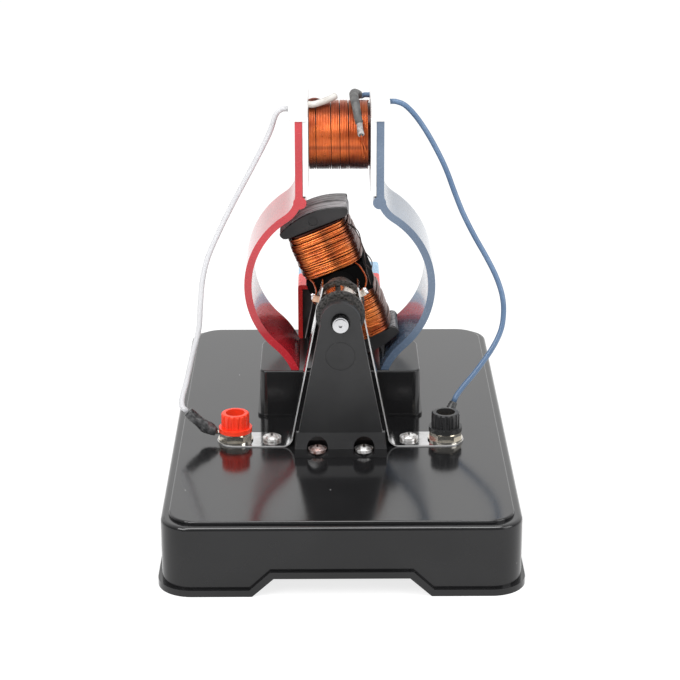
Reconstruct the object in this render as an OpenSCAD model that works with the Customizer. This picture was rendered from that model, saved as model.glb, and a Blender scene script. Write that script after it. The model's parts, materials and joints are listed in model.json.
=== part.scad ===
// Demonstration electric motor on a moulded base.
// X runs to the right, Y away from the front, Z up; the origin is the
// middle of the underside, on the table.  All sizes are millimetres.

/* [Base] */
// Width of the base across its rim
base_w = 104; // [96:1:130]
// Depth of the base from front to back
base_d = 171; // [160:1:210]
// Height of the rim above the table
base_h = 21; // [18:0.5:30]
// Wall thickness of the base shell
base_wall = 2.4; // [1.8:0.2:3.2]
// Thickness of the top plate under the rim
base_top = 2.6; // [2:0.2:4]
// Corner radius of the base in plan
base_corner = 9; // [7:0.5:13]
// Rounding of the rim edge
base_edge = 1.2; // [0.6:0.1:1.8]
// Height of the raised platform above the rim
platform_rise = 1; // [0.6:0.1:2]
// Inset of the platform from the rim
platform_inset = 2.2; // [1.8:0.1:4]
// Height of the lip along the bottom edge
lip_h = 2; // [1:0.1:3]
// How far the lip stands proud of the wall
lip_out = 1.2; // [0.6:0.1:2]
// Half width of the finger notch at the table
notch_half_bottom = 25.8; // [20:0.2:34]
// Half width of the finger notch at its top
notch_half_top = 19.5; // [12:0.5:19.5]
// Height of the finger notch
notch_h = 5.6; // [4:0.2:7]
// Thickness of the ribs under the top plate
rib_t = 1.6; // [1.2:0.1:2.4]
// Depth of the ribs under the top plate
rib_h = 7; // [4:0.5:9]

/* [Field poles] */
// Height of the shaft above the platform
axis_rise = 42.8; // [42:0.2:48]
// Middle of the poles behind the middle of the base
yoke_y = 13.2; // [10:0.2:16]
// Thickness of the pole strips
strip_t = 2.3; // [1.8:0.1:2.8]
// Width of the pole strips along the shaft
strip_w = 28.8; // [26:0.2:32]
// Half of the gap between the straight ends of the strips
strip_gap_half = 11.45; // [10.5:0.05:13]
// Inner radius of the curved part of a strip
pole_r = 25.1; // [24.6:0.1:28]
// Sideways offset of the centre of that curve from the shaft
pole_shift = 2.6; // [2:0.1:4]
// Height of the centre of that curve above the shaft
pole_lift = 0.6; // [0:0.1:1.4]
// Radius of the upper bends where a strip turns straight
bend_r = 9.5; // [7:0.5:12]
// Radius of the lower bends, which end inside the seat
low_bend_r = 22; // [16:0.5:26]
// Height of the strip tops above the shaft
strip_rise = 53.6; // [50:0.2:58]
// Radius of the rolled bead that carries the coil
bead_r = 2.05; // [1.5:0.05:2.4]

/* [Pole seat] */
// Width of the moulded pole seat
seat_w = 51; // [46:0.5:56]
// Depth of the pole seat
seat_d = 31.8; // [30:0.2:36]
// Height of the pole seat
seat_h = 15.6; // [14:0.2:16.4]
// Wall thickness of the pole seat
seat_wall = 2.2; // [1.6:0.1:3]
// Half width of the raised pad between the strips
pad_half = 10.6; // [8:0.1:10.8]
// Height of that pad
pad_h = 0.8; // [0.4:0.1:1.4]

/* [Brackets] */
// Distance from the middle of the yoke to the face of the front bracket
front_bracket_reach = 49.5; // [47:0.1:52]
// Distance from the middle of the yoke to the face of the rear bracket
rear_bracket_reach = 20.2; // [20:0.2:23]
// Thickness of the bracket plate
leg_t = 4.2; // [3:0.1:5]
// Half width of the bracket plate where it meets its foot
leg_half = 13.6; // [12:0.1:14.4]
// Radius of the rounded top of the bracket
leg_top_r = 6; // [5:0.1:7.4]
// Half width of the bracket foot
foot_half = 14; // [13:0.1:15]
// Thickness of the bracket foot
foot_t = 2.8; // [2.2:0.1:3.6]
// How far the foot stands out in front of the plate
foot_out = 2; // [1:0.1:2.6]
// How far the foot reaches behind the plate
foot_back = 8; // [6.5:0.5:10]
// Distance of the bracket screws from the middle
leg_screw_x = 7.1; // [6:0.1:8.5]
// Width of the screw pockets
pocket_w = 6.4; // [6:0.1:7]

/* [Shaft] */
// Shaft diameter
shaft_d = 4.8; // [4:0.1:5.2]
// Radial running clearance of the shaft in its brackets
shaft_play = 0.05; // [0.02:0.01:0.09]
// How far the shaft stands out of the brackets
shaft_out = 3.2; // [2:0.1:5]
// Outer diameter of the spacer tubes on the shaft
spacer_d = 7.6; // [6.4:0.1:9]
// End play of the shaft between the brackets, each side
end_play = 0.2; // [0.1:0.05:0.5]

/* [Armature] */
// Lean of the upper pole to the left of upright, in degrees
rotor_angle = 22; // [0:1:45]
// Outer radius of the pole shoes
shoe_r = 25; // [24:0.1:25.2]
// Distance of the flat inside of a shoe from the shaft
shoe_flat = 19.8; // [18:0.2:21]
// Half width of the pole shoes
shoe_half = 11.2; // [10:0.2:13]
// Half width of the armature web
web_half = 5.6; // [4.5:0.1:6.4]
// Length of the iron stack along the shaft
stack_l = 14; // [12:0.5:16]
// Thickness of the black end cheeks
cheek_t = 1.8; // [1.2:0.1:2.4]
// Wall of the winding former
former_wall = 1; // [0.8:0.1:1.3]
// Shift of the armature to the front of the yoke middle
rotor_shift = 1; // [0:0.2:2]
// Distance of the winding's inner end from the shaft
coil_start = 4.6; // [4.2:0.1:5.4]
// Depth of the armature winding
coil_depth = 3; // [2.4:0.1:3.2]

/* [Commutator] */
// Outer radius of the copper segments
drum_r = 6.6; // [6:0.1:7.2]
// Thickness of the copper segments
segment_t = 1.2; // [0.8:0.1:1.6]
// Length of the copper segments
drum_l = 10; // [9.2:0.2:11]
// Radius of the end flanges
flange_r = 7.5; // [7.3:0.1:8.2]
// Width of the slots between the segments
slot_w = 1.6; // [1:0.1:2]
// Lean of the slots to the left of upright, in degrees
slot_angle = 6; // [0:1:20]

/* [Brushes] */
// Thickness of the spring steel brush
brush_t = 0.4; // [0.3:0.05:0.6]
// Width of the brush foot
brush_w = 11.3; // [10:0.1:12]
// Width of the brush leaf on the commutator
leaf_w = 8.6; // [7:0.1:9]
// Middle of the brushes from the middle of the base
brush_y = -22; // [-23:0.1:-21]
// Half distance between the lower ends of the leaves
leaf_foot_half = 18; // [16:0.1:19]
// Inner bend radius of the brush
brush_bend = 3; // [1.4:0.1:4.4]
// Half distance between the brush screws
brush_screw_x = 21.3; // [20.6:0.1:22.5]
// How far the leaf reaches past its contact
leaf_past = 7.4; // [4:0.2:9]
// Gap between leaf and copper
brush_gap = 0.05; // [0.02:0.01:0.1]

/* [Terminals] */
// Half distance between the binding posts
post_x = 32.6; // [31:0.1:36]
// Diameter of the threaded post
post_d = 5.6; // [5.4:0.1:6]
// Diameter of the 4 mm socket in the post
socket_d = 4; // [3.9:0.1:4.2]
// Depth of the socket
socket_depth = 11; // [9:0.5:12]
// Diameter of the knob's fluted body
knob_d = 8.7; // [8.5:0.1:10]
// Diameter of the knob's lower collar
collar_d = 10.3; // [10:0.1:12]
// Height of the knob
knob_h = 6; // [5.5:0.1:8]
// Number of flutes round the knob
flutes = 16; // [12:1:20]

/* [Field coil] */
// Distance of the coil's axis below the strip tops
coil_drop = 7.6; // [7.2:0.1:8.6]
// Radius of the wound drum
drum_wire_r = 9.9; // [9:0.1:10.4]
// Outer radius of the bobbin tube
tube_r = 6.4; // [6:0.1:7]
// Radius of the iron core
core_r = 5; // [4:0.1:5.4]
// Thickness of the bobbin flanges
flange_t = 1.7; // [1.2:0.1:2.2]
// Height of the caps over the strip ends
cap_h = 4.2; // [3.4:0.1:5]
// Overhang of the caps outside the strips
cap_out = 2; // [1:0.1:3]

/* [Magnet] */
// Width and length of the spare magnet's case
magnet_w = 27.6; // [24:0.2:30]
// Length of the case from front to back
magnet_l = 26; // [22:0.2:30]
// Height of the case
magnet_h = 30; // [24:0.5:32]
// Wall of the coloured sleeves
sleeve_wall = 1.5; // [1:0.1:2.5]
// Front of the case behind the middle of the base
magnet_y = 41.2; // [41:0.2:46]

/* [Leads] */
// Diameter of the connecting wires
lead_d = 1.7; // [1.4:0.1:2]
// Diameter of the shrink sleeves on their ends
boot_d = 2.8; // [2.4:0.1:3.2]
// Diameter of the winding wire that is drawn
wire_d = 0.85; // [0.7:0.05:0.9]

/* [Hidden] */
$fn = 72;

// a hair for cuts that pass a face, and the gap left between seated parts
hair = 0.05;
// how far the parts of a strip run into each other, in mm
lap = 0.1;
seat_gap = 0.1;

deck_z = base_h + platform_rise;
plate_bottom = base_h - base_top;
axis_z = deck_z + axis_rise;
boss_h = 7;
boss_r = 3.6;

// pole strip: its straight ends, its bends and its main curve
leg_x = strip_gap_half + strip_t / 2;
pole_mid_r = pole_r + strip_t / 2;
pole_z = axis_z + pole_lift;
bend_x = leg_x + bend_r;
bend_dz = sqrt(pow(bend_r + pole_mid_r, 2) - pow(bend_x - pole_shift, 2));
bend_angle = atan2(bend_dz, bend_x - pole_shift);
low_bend_x = leg_x + low_bend_r;
low_bend_dz = sqrt(pow(low_bend_r + pole_mid_r, 2) - pow(low_bend_x - pole_shift, 2));
low_bend_angle = atan2(low_bend_dz, low_bend_x - pole_shift);
strip_top = axis_z + strip_rise;
strip_foot = deck_z + 2;
bead_z = pole_z + bend_dz - 1.35 * bead_r;

seat_y = yoke_y + 0.5;
seat_top = deck_z + seat_h;
seat_r = 2.4;
seat_back_r = 6;
seat_screw_y = 10.5;

// brackets
front_face = yoke_y - front_bracket_reach + leg_t / 2;
rear_face = yoke_y + rear_bracket_reach - leg_t / 2;
leg_foot_z = deck_z + foot_t;
bore_r = shaft_d / 2 + shaft_play;
pocket_floor = deck_z + 0.8;
head_r = 2.85;
head_h = 1.9;
thread_r = 1.3;
leg_screw_back = 1.7;
rear_screw_y = rear_face + leg_t + head_r + 0.2;
rear_foot_end = rear_screw_y + head_r + 0.1;
magnet_front = max(magnet_y, rear_foot_end + 0.3);

// armature
rotor_y = yoke_y - rotor_shift;
stack_front = rotor_y - stack_l / 2;
cheek_front = stack_front - cheek_t;
former_half_x = web_half + former_wall;
former_half_y = stack_l / 2 + former_wall;
coil_half_x = former_half_x + coil_depth - wire_d;
coil_half_y = former_half_y + coil_depth - wire_d;
hub_y = coil_half_y + wire_d;

// commutator, in step with the brushes
drum_y0 = brush_y - leaf_w / 2 - 0.4 + 0.6;
drum_y1 = drum_y0 + drum_l;
flange_l = 1.2;
ear_t = 0.5;
ear_r = 8.6;
leaf_y = drum_y0 + 0.4 + leaf_w / 2;

// terminals, stacked from the platform up
washer_h = 0.6;
nut_h = 1.7;
lug_t = 0.5;
washer_z = deck_z + brush_t;
nut_z = washer_z + washer_h;
lug_z = nut_z + nut_h;
knob_z = lug_z + lug_t + seat_gap;
post_top = knob_z + knob_h - 2.6;
insert_h = knob_h - 2.4;
nut_flats = post_d + 3;
under_nut_h = nut_h + 0.6;
post_bottom = plate_bottom - 5;
post_fit = 0.05;
insert_r = post_d / 2 + 0.75;

// field coil
coil_z = strip_top - coil_drop;
flange_x = strip_gap_half - seat_gap;
coil_half = flange_x - flange_t;
cap_x = strip_gap_half + strip_t + cap_out;
sleeve_r = boot_d / 2;
white_sleeve_r = 1.1;
cap_z = strip_top + seat_gap;
flange_bottom = bead_z + bead_r + seat_gap;
field_steps = 20;
field_turn_r = (drum_wire_r + wire_d / 2 + 0.03) / cos(180 / field_steps);
field_outer_r = field_turn_r + wire_d / 2;
exit_z = cap_z + cap_h * 0.6;

// free wires: points chosen along each route
white_exit_y = yoke_y - 8.2;
blue_exit_y = yoke_y + 1.4;
boot_l = 9.9;
white_boot_dir = [-0.8, 0.1, 0.59];
blue_boot_dir = [0.1, 0.48, 0.87];
blue_boot_l = 7;
lug_reach = 6.9;
white_boot_start = [-post_x - lug_reach, brush_y - 0.6, lug_z + 1.1];
blue_boot_start = [post_x + 0.6, brush_y + lug_reach, lug_z + 1.3];
white_boot_end = white_boot_start + boot_l * white_boot_dir / norm(white_boot_dir);
blue_boot_end = blue_boot_start + blue_boot_l * blue_boot_dir / norm(blue_boot_dir);
white_route = concat(
    [[-cap_x, white_exit_y, exit_z], [-cap_x - lead_d, white_exit_y, exit_z]],
    [[-19.6, 4.7, 119.2], [-21.7, 4.2, 113.4], [-26.6, 2.5, 104], [-32.6, 1, 93],
     [-37.3, -1, 84], [-41, -4, 76], [-42.7, -6.5, 69.4], [-43.4, -9, 62],
     [-44, -11, 54.6], [-46, -13, 47], [-47.8, -15.4, 39.4], [-49.2, -18.6, 34.4]],
    [white_boot_end + lead_d * white_boot_dir / norm(white_boot_dir), white_boot_end]);
blue_route = concat(
    [[cap_x, blue_exit_y, exit_z], [cap_x + lead_d, blue_exit_y, exit_z]],
    [[20.4, 14, 120], [23.6, 13, 117], [27.2, 12, 112], [31, 10.5, 105.4],
     [33.6, 9, 100], [35.9, 7.5, 94], [38.6, 6, 87.4], [42.2, 4.5, 80.4],
     [46.2, 2.5, 73.6], [49.3, 0.5, 67.6], [51.1, -2, 62], [51.4, -3.5, 56.6],
     [50.4, -5.2, 51.6], [47.6, -7, 46], [42.4, -9.4, 40.6], [37, -11, 36.6]],
    [blue_boot_end + lead_d * blue_boot_dir / norm(blue_boot_dir), blue_boot_end]);

// sleeves bent over the field winding: place along it, angle round it, lift
function over_coil(x, a, lift) = let (r = field_outer_r + 0.15 + lift)
    [x, yoke_y + r * cos(a), coil_z + r * sin(a)];
grey_route = [over_coil(6, 58, sleeve_r + 0.6), over_coil(5, 68, sleeve_r + 0.5),
    over_coil(4.6, 80, sleeve_r + 0.3), over_coil(4.6, 95, sleeve_r),
    over_coil(4.8, 110, sleeve_r), over_coil(5.2, 125, sleeve_r),
    over_coil(5.6, 140, sleeve_r), over_coil(6.1, 153, sleeve_r),
    over_coil(6.4, 165, sleeve_r)];
white_sleeve_route = [over_coil(-coil_half, 116, white_sleeve_r),
    over_coil(-coil_half + lead_d, 116, white_sleeve_r),
    over_coil(-5.6, 111, white_sleeve_r), over_coil(-3.2, 103, white_sleeve_r + 0.1),
    over_coil(-1.2, 94, white_sleeve_r + 0.4)];
grey_back = unit(grey_route[0] - grey_route[1]);
tail_route = [[coil_half, 22.4, exit_z + 0.3], [coil_half - lead_d, 22.4, exit_z + 0.3],
    grey_route[0] + 1.5 * lead_d * grey_back, grey_route[0]];

// ---------------------------------------------------------------- shapes

// a rectangle with round corners, centred
module round_rect(w, d, r) {
    square([w - 2 * r, d], center = true);
    square([w, d - 2 * r], center = true);
    for (x = [-1, 1], y = [-1, 1]) {
        translate([x * (w / 2 - r), y * (d / 2 - r)]) circle(r);
    }
}

// half of a slab's section, with its top edge rounded
module edge_profile(half, h, e) {
    square([half, h - e]);
    square([half - e, h]);
    translate([half - e, h - e]) circle(e);
}

// a slab with round corners in plan and a rounded top edge
module soft_slab(w, d, h, r, e) {
    rotate([90, 0, 90]) linear_extrude(w - 2 * r, center = true) {
        edge_profile(d / 2, h, e);
        mirror([1, 0]) edge_profile(d / 2, h, e);
    }
    rotate([90, 0, 0]) linear_extrude(d - 2 * r, center = true) {
        edge_profile(w / 2, h, e);
        mirror([1, 0]) edge_profile(w / 2, h, e);
    }
    for (x = [-1, 1], y = [-1, 1]) {
        translate([x * (w / 2 - r), y * (d / 2 - r), 0])
            rotate_extrude() edge_profile(r, h, e);
    }
}

// a slice of a ring, less than half a turn, in its own plane
module ring_slice(r_in, r_out, a0, a1) {
    far = 2 * r_out;
    mid = (a0 + a1) / 2;
    intersection() {
        difference() {
            circle(r_out);
            circle(r_in);
        }
        polygon([[0, 0], far * [cos(a0), sin(a0)], far * [cos(mid), sin(mid)],
            far * [cos(a1), sin(a1)]]);
    }
}

// stands a plane drawing up: its second axis becomes Z, its depth runs along Y
module along_y(y0, y1) {
    translate([0, y1, 0]) rotate([90, 0, 0]) linear_extrude(y1 - y0) children();
}

// a round bar along Y or along X
module bar_y(r, y0, y1) {
    translate([0, y0, 0]) rotate([-90, 0, 0]) cylinder(r = r, h = y1 - y0);
}
module bar_x(r, x0, x1) {
    translate([x0, 0, 0]) rotate([0, 90, 0]) cylinder(r = r, h = x1 - x0);
}

// a round bar from one point along a direction
module bar_to(p, dir, r, h) {
    d = dir / norm(dir);
    translate(p) rotate([0, acos(d[2]), atan2(d[1], d[0])]) cylinder(r = r, h = h);
}

// a pan head screw with a cross recess, its head's underside at z = 0
module pan_screw(length) {
    difference() {
        union() {
            cylinder(r = head_r, h = head_h * 0.45);
            intersection() {
                translate([0, 0, head_h * 0.45]) cylinder(r = head_r, h = head_h);
                translate([0, 0, head_h - 3.4]) sphere(r = 3.4);
            }
        }
        for (a = [0, 90]) {
            rotate(a) translate([0, 0, head_h]) cube([2.7, 0.6, 1.8], center = true);
        }
    }
    translate([0, 0, -length]) cylinder(r = thread_r, h = length);
}

// ---------------------------------------------------------------- tubes

function unit(v) = v / norm(v);

// direction of travel at each point of a path
function headings(p) = [for (i = [0 : len(p) - 1])
    unit(p[min(i + 1, len(p) - 1)] - p[max(i - 1, 0)])];

// a side direction carried along the path without twisting
function carry(t, i) = i == 0
    ? unit(cross(t[0], abs(t[0][2]) < 0.9 ? [0, 0, 1] : [1, 0, 0]))
    : let (s = carry(t, i - 1)) unit(s - (s * t[i]) * t[i]);

// the same, kept as a running list so that long paths stay quick
function sides_along(t) = [for (i = 0, s = carry(t, 0); i < len(t);
    i = i + 1, s = i < len(t) ? unit(s - (s * t[i]) * t[i]) : s) s];

// one closed tube swept along a path
module tube(path, d, n) {
    t = headings(path);
    s = sides_along(t);
    rings = len(path);
    points = [for (i = [0 : rings - 1], k = [0 : n - 1])
        let (a = 360 * k / n, b = cross(t[i], s[i]))
        path[i] + d / 2 * (cos(a) * s[i] + sin(a) * b)];
    walls = [for (i = [0 : rings - 2], k = [0 : n - 1], h = [0, 1])
        let (a = i * n + k, b = i * n + (k + 1) % n)
        h == 0 ? [a, a + n, b] : [b, a + n, b + n]];
    caps = [for (k = [1 : n - 2], e = [0, 1])
        let (z = (rings - 1) * n)
        e == 0 ? [0, k, k + 1] : [z, z + k + 1, z + k]];
    polyhedron(points, concat(walls, caps));
}

// a smooth curve through the route's points, with this many steps a span
function spline_point(p, i, u) = let (
    a = p[max(i - 1, 0)], b = p[i], c = p[i + 1], d = p[min(i + 2, len(p) - 1)])
    0.5 * (2 * b + (c - a) * u + (2 * a - 5 * b + 4 * c - d) * u * u
        + (3 * b - a - 3 * c + d) * u * u * u);
// the first and last span stay straight, so that the ends meet things squarely
function smooth(p, steps) = concat([p[0]],
    [for (i = [1 : len(p) - 3], k = [0 : steps - 1]) spline_point(p, i, k / steps)],
    [p[len(p) - 2], p[len(p) - 1]]);

// ------------------------------------------------------------- base parts

module notch(grow, low) {
    polygon([[-notch_half_bottom - grow * 1.4, low], [notch_half_bottom + grow * 1.4, low],
        [notch_half_top + grow * 0.5, notch_h + grow], [-notch_half_top - grow * 0.5, notch_h + grow]]);
}

module base_holes() {
    for (x = [-1, 1]) {
        translate([x * post_x, brush_y, plate_bottom - hair])
            cylinder(r = post_d / 2 + 0.1, h = deck_z);
        translate([x * brush_screw_x, brush_y, deck_z - boss_h])
            cylinder(r = thread_r + hair, h = boss_h + 1);
        translate([x * leg_screw_x, front_face + leg_screw_back, deck_z - boss_h])
            cylinder(r = thread_r + hair, h = boss_h + 1);
        translate([x * leg_screw_x, rear_screw_y, deck_z - boss_h])
            cylinder(r = thread_r + hair, h = boss_h + 1);
        for (y = [-1, 1]) {
            translate([x * leg_x * 1.0, seat_y + y * seat_screw_y, plate_bottom - hair])
                cylinder(r = thread_r + 0.2, h = deck_z);
        }
    }
}

module base_bosses() {
    for (x = [-1, 1]) {
        for (p = [[brush_screw_x, brush_y], [leg_screw_x, front_face + leg_screw_back],
            [leg_screw_x, rear_screw_y]]) {
            translate([x * p[0], p[1], deck_z - boss_h - 1]) cylinder(r = boss_r, h = boss_h);
        }
    }
}

module base() {
    color("#1b1b1d") difference() {
        union() {
            difference() {
                soft_slab(base_w, base_d, base_h, base_corner, base_edge);
                translate([0, 0, -hair]) linear_extrude(plate_bottom + hair)
                    round_rect(base_w - 2 * base_wall, base_d - 2 * base_wall,
                        base_corner - base_wall);
            }
            // lip along the bottom edge, following the notches
            difference() {
                linear_extrude(lip_h) round_rect(base_w + 2 * lip_out,
                    base_d + 2 * lip_out, base_corner + lip_out);
                translate([0, 0, -hair]) linear_extrude(lip_h + 1)
                    round_rect(base_w - base_wall, base_d - base_wall,
                        base_corner - base_wall / 2);
            }
            for (s = [-1, 1]) {
                along_y(s < 0 ? -base_d / 2 - lip_out : base_d / 2 - base_wall / 2,
                    s < 0 ? -base_d / 2 + base_wall / 2 : base_d / 2 + lip_out) notch(lip_h, 0);
            }
            // raised platform
            translate([0, 0, base_h - 1]) soft_slab(base_w - 2 * platform_inset,
                base_d - 2 * platform_inset, platform_rise + 1,
                base_corner - 0.6, platform_rise * 0.6);
            base_bosses();
            // stiffening ribs under the top plate
            for (y = [-base_d / 3, brush_y + 8, base_d / 3]) {
                translate([-base_w / 2 + base_wall / 2, y - rib_t / 2, plate_bottom - rib_h])
                    cube([base_w - base_wall, rib_t, rib_h + 0.5]);
            }
            for (x = [-1, 1]) {
                translate([x * base_w / 3.4 - rib_t / 2, base_d / 12, plate_bottom - rib_h])
                    cube([rib_t, base_d / 2 - base_d / 12 - base_wall / 2, rib_h + 0.5]);
            }
        }
        along_y(-base_d, base_d) notch(0, -hair);
        base_holes();
    }
}

module pole_seat() {
    slab_y = seat_y;
    color("#1b1b1d") difference() {
        union() {
            translate([0, slab_y - seat_back_r / 2, deck_z])
                soft_slab(seat_w, seat_d - seat_back_r, seat_h, seat_r, 0.6);
            translate([0, slab_y + seat_r / 2, deck_z])
                soft_slab(seat_w, seat_d - seat_r, seat_h, seat_back_r, 0.6);
            translate([0, slab_y, deck_z]) linear_extrude(0.9)
                round_rect(seat_w + 1.6, seat_d + 0.8, seat_r + 0.8);
            translate([0, slab_y, deck_z]) linear_extrude(seat_h + pad_h)
                square([2 * pad_half, seat_d - 1.2], center = true);
        }
        // hollow between the strips, open below
        translate([0, slab_y, deck_z - hair]) linear_extrude(seat_h - seat_wall)
            square([2 * (leg_x - strip_t / 2 - seat_wall), seat_d - 2 * seat_wall], center = true);
        // hollow at each end
        for (x = [-1, 1]) {
            inner = leg_x + strip_t / 2 + 6.2;
            outer = seat_w / 2 - seat_wall;
            translate([x * (inner + outer) / 2, slab_y, deck_z - hair])
                linear_extrude(seat_h - seat_wall)
                square([outer - inner, seat_d - 2 * seat_wall], center = true);
            for (y = [-1, 1]) {
                translate([x * leg_x, slab_y + y * seat_screw_y, deck_z - hair])
                    cylinder(r = thread_r + hair, h = strip_foot - deck_z - 0.2);
            }
        }
        pole_strip(seat_gap);
        mirror([1, 0, 0]) pole_strip(seat_gap);
    }
}

module seat_screws() {
    color("#c9ccd0") for (x = [-1, 1], y = [-1, 1]) {
        translate([x * leg_x, seat_y + y * seat_screw_y, plate_bottom]) rotate([180, 0, 0])
            pan_screw(strip_foot - plate_bottom - 0.6);
    }
}

// ----------------------------------------------------------------- poles

// one strip in profile, x to the side and z up, fattened by a clearance
module strip_profile(c) {
    t = strip_t / 2 + c;
    translate([pole_shift, pole_z])
        ring_slice(pole_mid_r - t, pole_mid_r + t,
            -low_bend_angle - 2 * lap, bend_angle + 2 * lap);
    translate([bend_x, pole_z + bend_dz])
        ring_slice(bend_r - t, bend_r + t, 180, 180 + bend_angle);
    translate([low_bend_x, pole_z - low_bend_dz])
        ring_slice(low_bend_r - t, low_bend_r + t, 180 - low_bend_angle, 180);
    translate([leg_x - t, pole_z + bend_dz - lap])
        square([2 * t, strip_top - pole_z - bend_dz + c + lap]);
    translate([leg_x - t, strip_foot - c])
        square([2 * t, pole_z - low_bend_dz - strip_foot + c + lap]);
}

module pole_strip(c) {
    along_y(yoke_y - strip_w / 2 - c, yoke_y + strip_w / 2 + c) {
        strip_profile(c);
        if (c == 0) {
            translate([leg_x - 0.25, bead_z]) circle(bead_r);
        }
    }
}

module red_pole() {
    color("#c8202c") mirror([1, 0, 0]) pole_strip(0);
}

module blue_pole() {
    color("#5b7aa6") pole_strip(0);
}

// -------------------------------------------------------------- brackets

// outline of the tapered plate, standing on the platform
module leg_outline() {
    rise = axis_z - leg_foot_z;
    run = leg_half;
    reach = norm([run, rise]);
    lean = atan2(rise, run) - asin(leg_top_r / reach);
    side = [leg_top_r * sin(lean), axis_z + leg_top_r * cos(lean)];
    translate([0, axis_z]) circle(leg_top_r);
    polygon([[-leg_half, leg_foot_z], [leg_half, leg_foot_z], side, [-side[0], side[1]]]);
    translate([-foot_half + 0.4, deck_z]) square([2 * foot_half - 0.8, foot_t]);
}

// arched pocket that takes one screw
module pocket_outline() {
    translate([-pocket_w / 2, pocket_floor]) square([pocket_w, 2.3]);
    translate([0, pocket_floor + 2.3]) circle(pocket_w / 2);
}

module front_bracket() {
    back = front_face + leg_t;
    color("#232325") difference() {
        union() {
            along_y(front_face, back) leg_outline();
            translate([-foot_half, front_face - foot_out, deck_z])
                cube([2 * foot_half, foot_out + leg_t + foot_back, foot_t]);
            // sloping toe below the plate
            along_x(-foot_half + 0.5, foot_half - 0.5)
                polygon([[front_face - foot_out, deck_z], [front_face + 0.5, deck_z],
                    [front_face + 0.5, leg_foot_z + 5], [front_face, leg_foot_z + 4.6],
                    [front_face - foot_out, leg_foot_z - 0.3]]);
            for (x = [-1, 1]) {
                along_x(x * 3 - 0.9, x * 3 + 0.9)
                    polygon([[back - 0.5, leg_foot_z - 0.5], [back + foot_back - 1, leg_foot_z - 0.5],
                        [back + 1, leg_foot_z + 21], [back - 0.5, leg_foot_z + 21]]);
            }
        }
        translate([0, 0, axis_z]) bar_y(bore_r, front_face - 2, back + 2);
        // shallow recess round the bore and the round mould mark below it
        translate([0, 0, axis_z]) bar_y(bore_r + 0.5, front_face - 2, front_face + 1.4);
        translate([0, 0, axis_z - 10.6]) difference() {
            bar_y(4.6, front_face - 1, front_face + 0.15);
            bar_y(4.2, front_face - 2, front_face + 1);
        }
        for (x = [-1, 1]) {
            translate([x * leg_screw_x, 0, 0])
                along_y(front_face - foot_out - 1, front_face + leg_screw_back + head_r + 0.5)
                pocket_outline();
            translate([x * leg_screw_x, front_face + leg_screw_back, deck_z - 1])
                cylinder(r = thread_r + 0.2, h = foot_t);
        }
    }
}

// a plane drawing in Y and Z, pushed along X
module along_x(x0, x1) {
    translate([x0, 0, 0]) rotate([90, 0, 90]) linear_extrude(x1 - x0) children();
}

module rear_bracket() {
    back = rear_face + leg_t;
    color("#232325") difference() {
        union() {
            along_y(rear_face, back) leg_outline();
            translate([-foot_half, rear_face, deck_z])
                cube([2 * foot_half, rear_foot_end - rear_face, foot_t]);
            along_x(-0.9, 0.9)
                polygon([[back - 0.5, leg_foot_z - 0.5], [rear_foot_end - 0.6, leg_foot_z - 0.5],
                    [back + 1, leg_foot_z + 21], [back - 0.5, leg_foot_z + 21]]);
        }
        translate([0, 0, axis_z]) bar_y(bore_r, rear_face - 2, back + 2);
        for (x = [-1, 1]) {
            translate([x * leg_screw_x, rear_screw_y, deck_z - 1])
                cylinder(r = thread_r + 0.2, h = foot_t + 3);
        }
    }
}

module front_bracket_screws() {
    color("#d4d6da") for (x = [-1, 1]) {
        translate([x * leg_screw_x, front_face + leg_screw_back, pocket_floor])
            pan_screw(boss_h - 1);
    }
}

module rear_bracket_screws() {
    color("#d4d6da") for (x = [-1, 1]) {
        translate([x * leg_screw_x, rear_screw_y, leg_foot_z])
            pan_screw(boss_h);
    }
}

// ------------------------------------------------------------- the rotor

// places a drawing on the shaft, turned to the stored rest pose
module on_shaft() {
    translate([0, 0, axis_z]) rotate([0, -rotor_angle, 0]) children();
}

module shaft() {
    color("#d9dbde") translate([0, 0, axis_z]) difference() {
        union() {
            bar_y(shaft_d / 2, front_face - shaft_out + 0.5, rear_face + leg_t + shaft_out - 0.5);
            bar_y(shaft_d / 2 - 0.4, front_face - shaft_out, rear_face + leg_t + shaft_out);
        }
        bar_y(0.6, front_face - shaft_out - 1, front_face - shaft_out + 0.8);
    }
}

module spacer(y0, y1) {
    color("#c8a24a") translate([0, 0, axis_z]) difference() {
        bar_y(spacer_d / 2, y0, y1);
        bar_y(shaft_d / 2 + 0.02, y0 - 1, y1 + 1);
    }
}

module front_spacer() {
    spacer(front_face + leg_t + end_play, drum_y0 - flange_l);
}

module rear_spacer() {
    spacer(rotor_y + hub_y + hair, rear_face - end_play);
}

// outline of both shoes and the web between them
module core_outline(r) {
    for (s = [-1, 1]) {
        intersection() {
            circle(r);
            translate([-shoe_half, s > 0 ? shoe_flat : -shoe_flat - 10])
                square([2 * shoe_half, 10]);
        }
    }
    translate([-web_half, -shoe_flat - 1]) square([2 * web_half, 2 * shoe_flat + 2]);
}

module armature_core() {
    groove = 1.6;
    color("#9a9da1") on_shaft() difference() {
        union() {
            along_y(stack_front, rotor_y - groove / 2) core_outline(shoe_r);
            along_y(rotor_y - groove / 2, rotor_y + groove / 2) core_outline(shoe_r - 1.2);
            along_y(rotor_y + groove / 2, stack_front + stack_l) core_outline(shoe_r);
        }
        bar_y(shaft_d / 2 + 0.02, stack_front - 1, stack_front + stack_l + 1);
    }
}

// outline of a cheek, with rounded horns
module cheek_outline() {
    depth = shoe_r - shoe_flat + 0.3;
    for (s = [-1, 1]) {
        intersection() {
            circle(shoe_r - 0.2);
            translate([0, s * (shoe_flat + depth / 2 + seat_gap)])
                round_rect(2 * shoe_half + 0.4, depth, 1.9);
        }
    }
}

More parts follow.
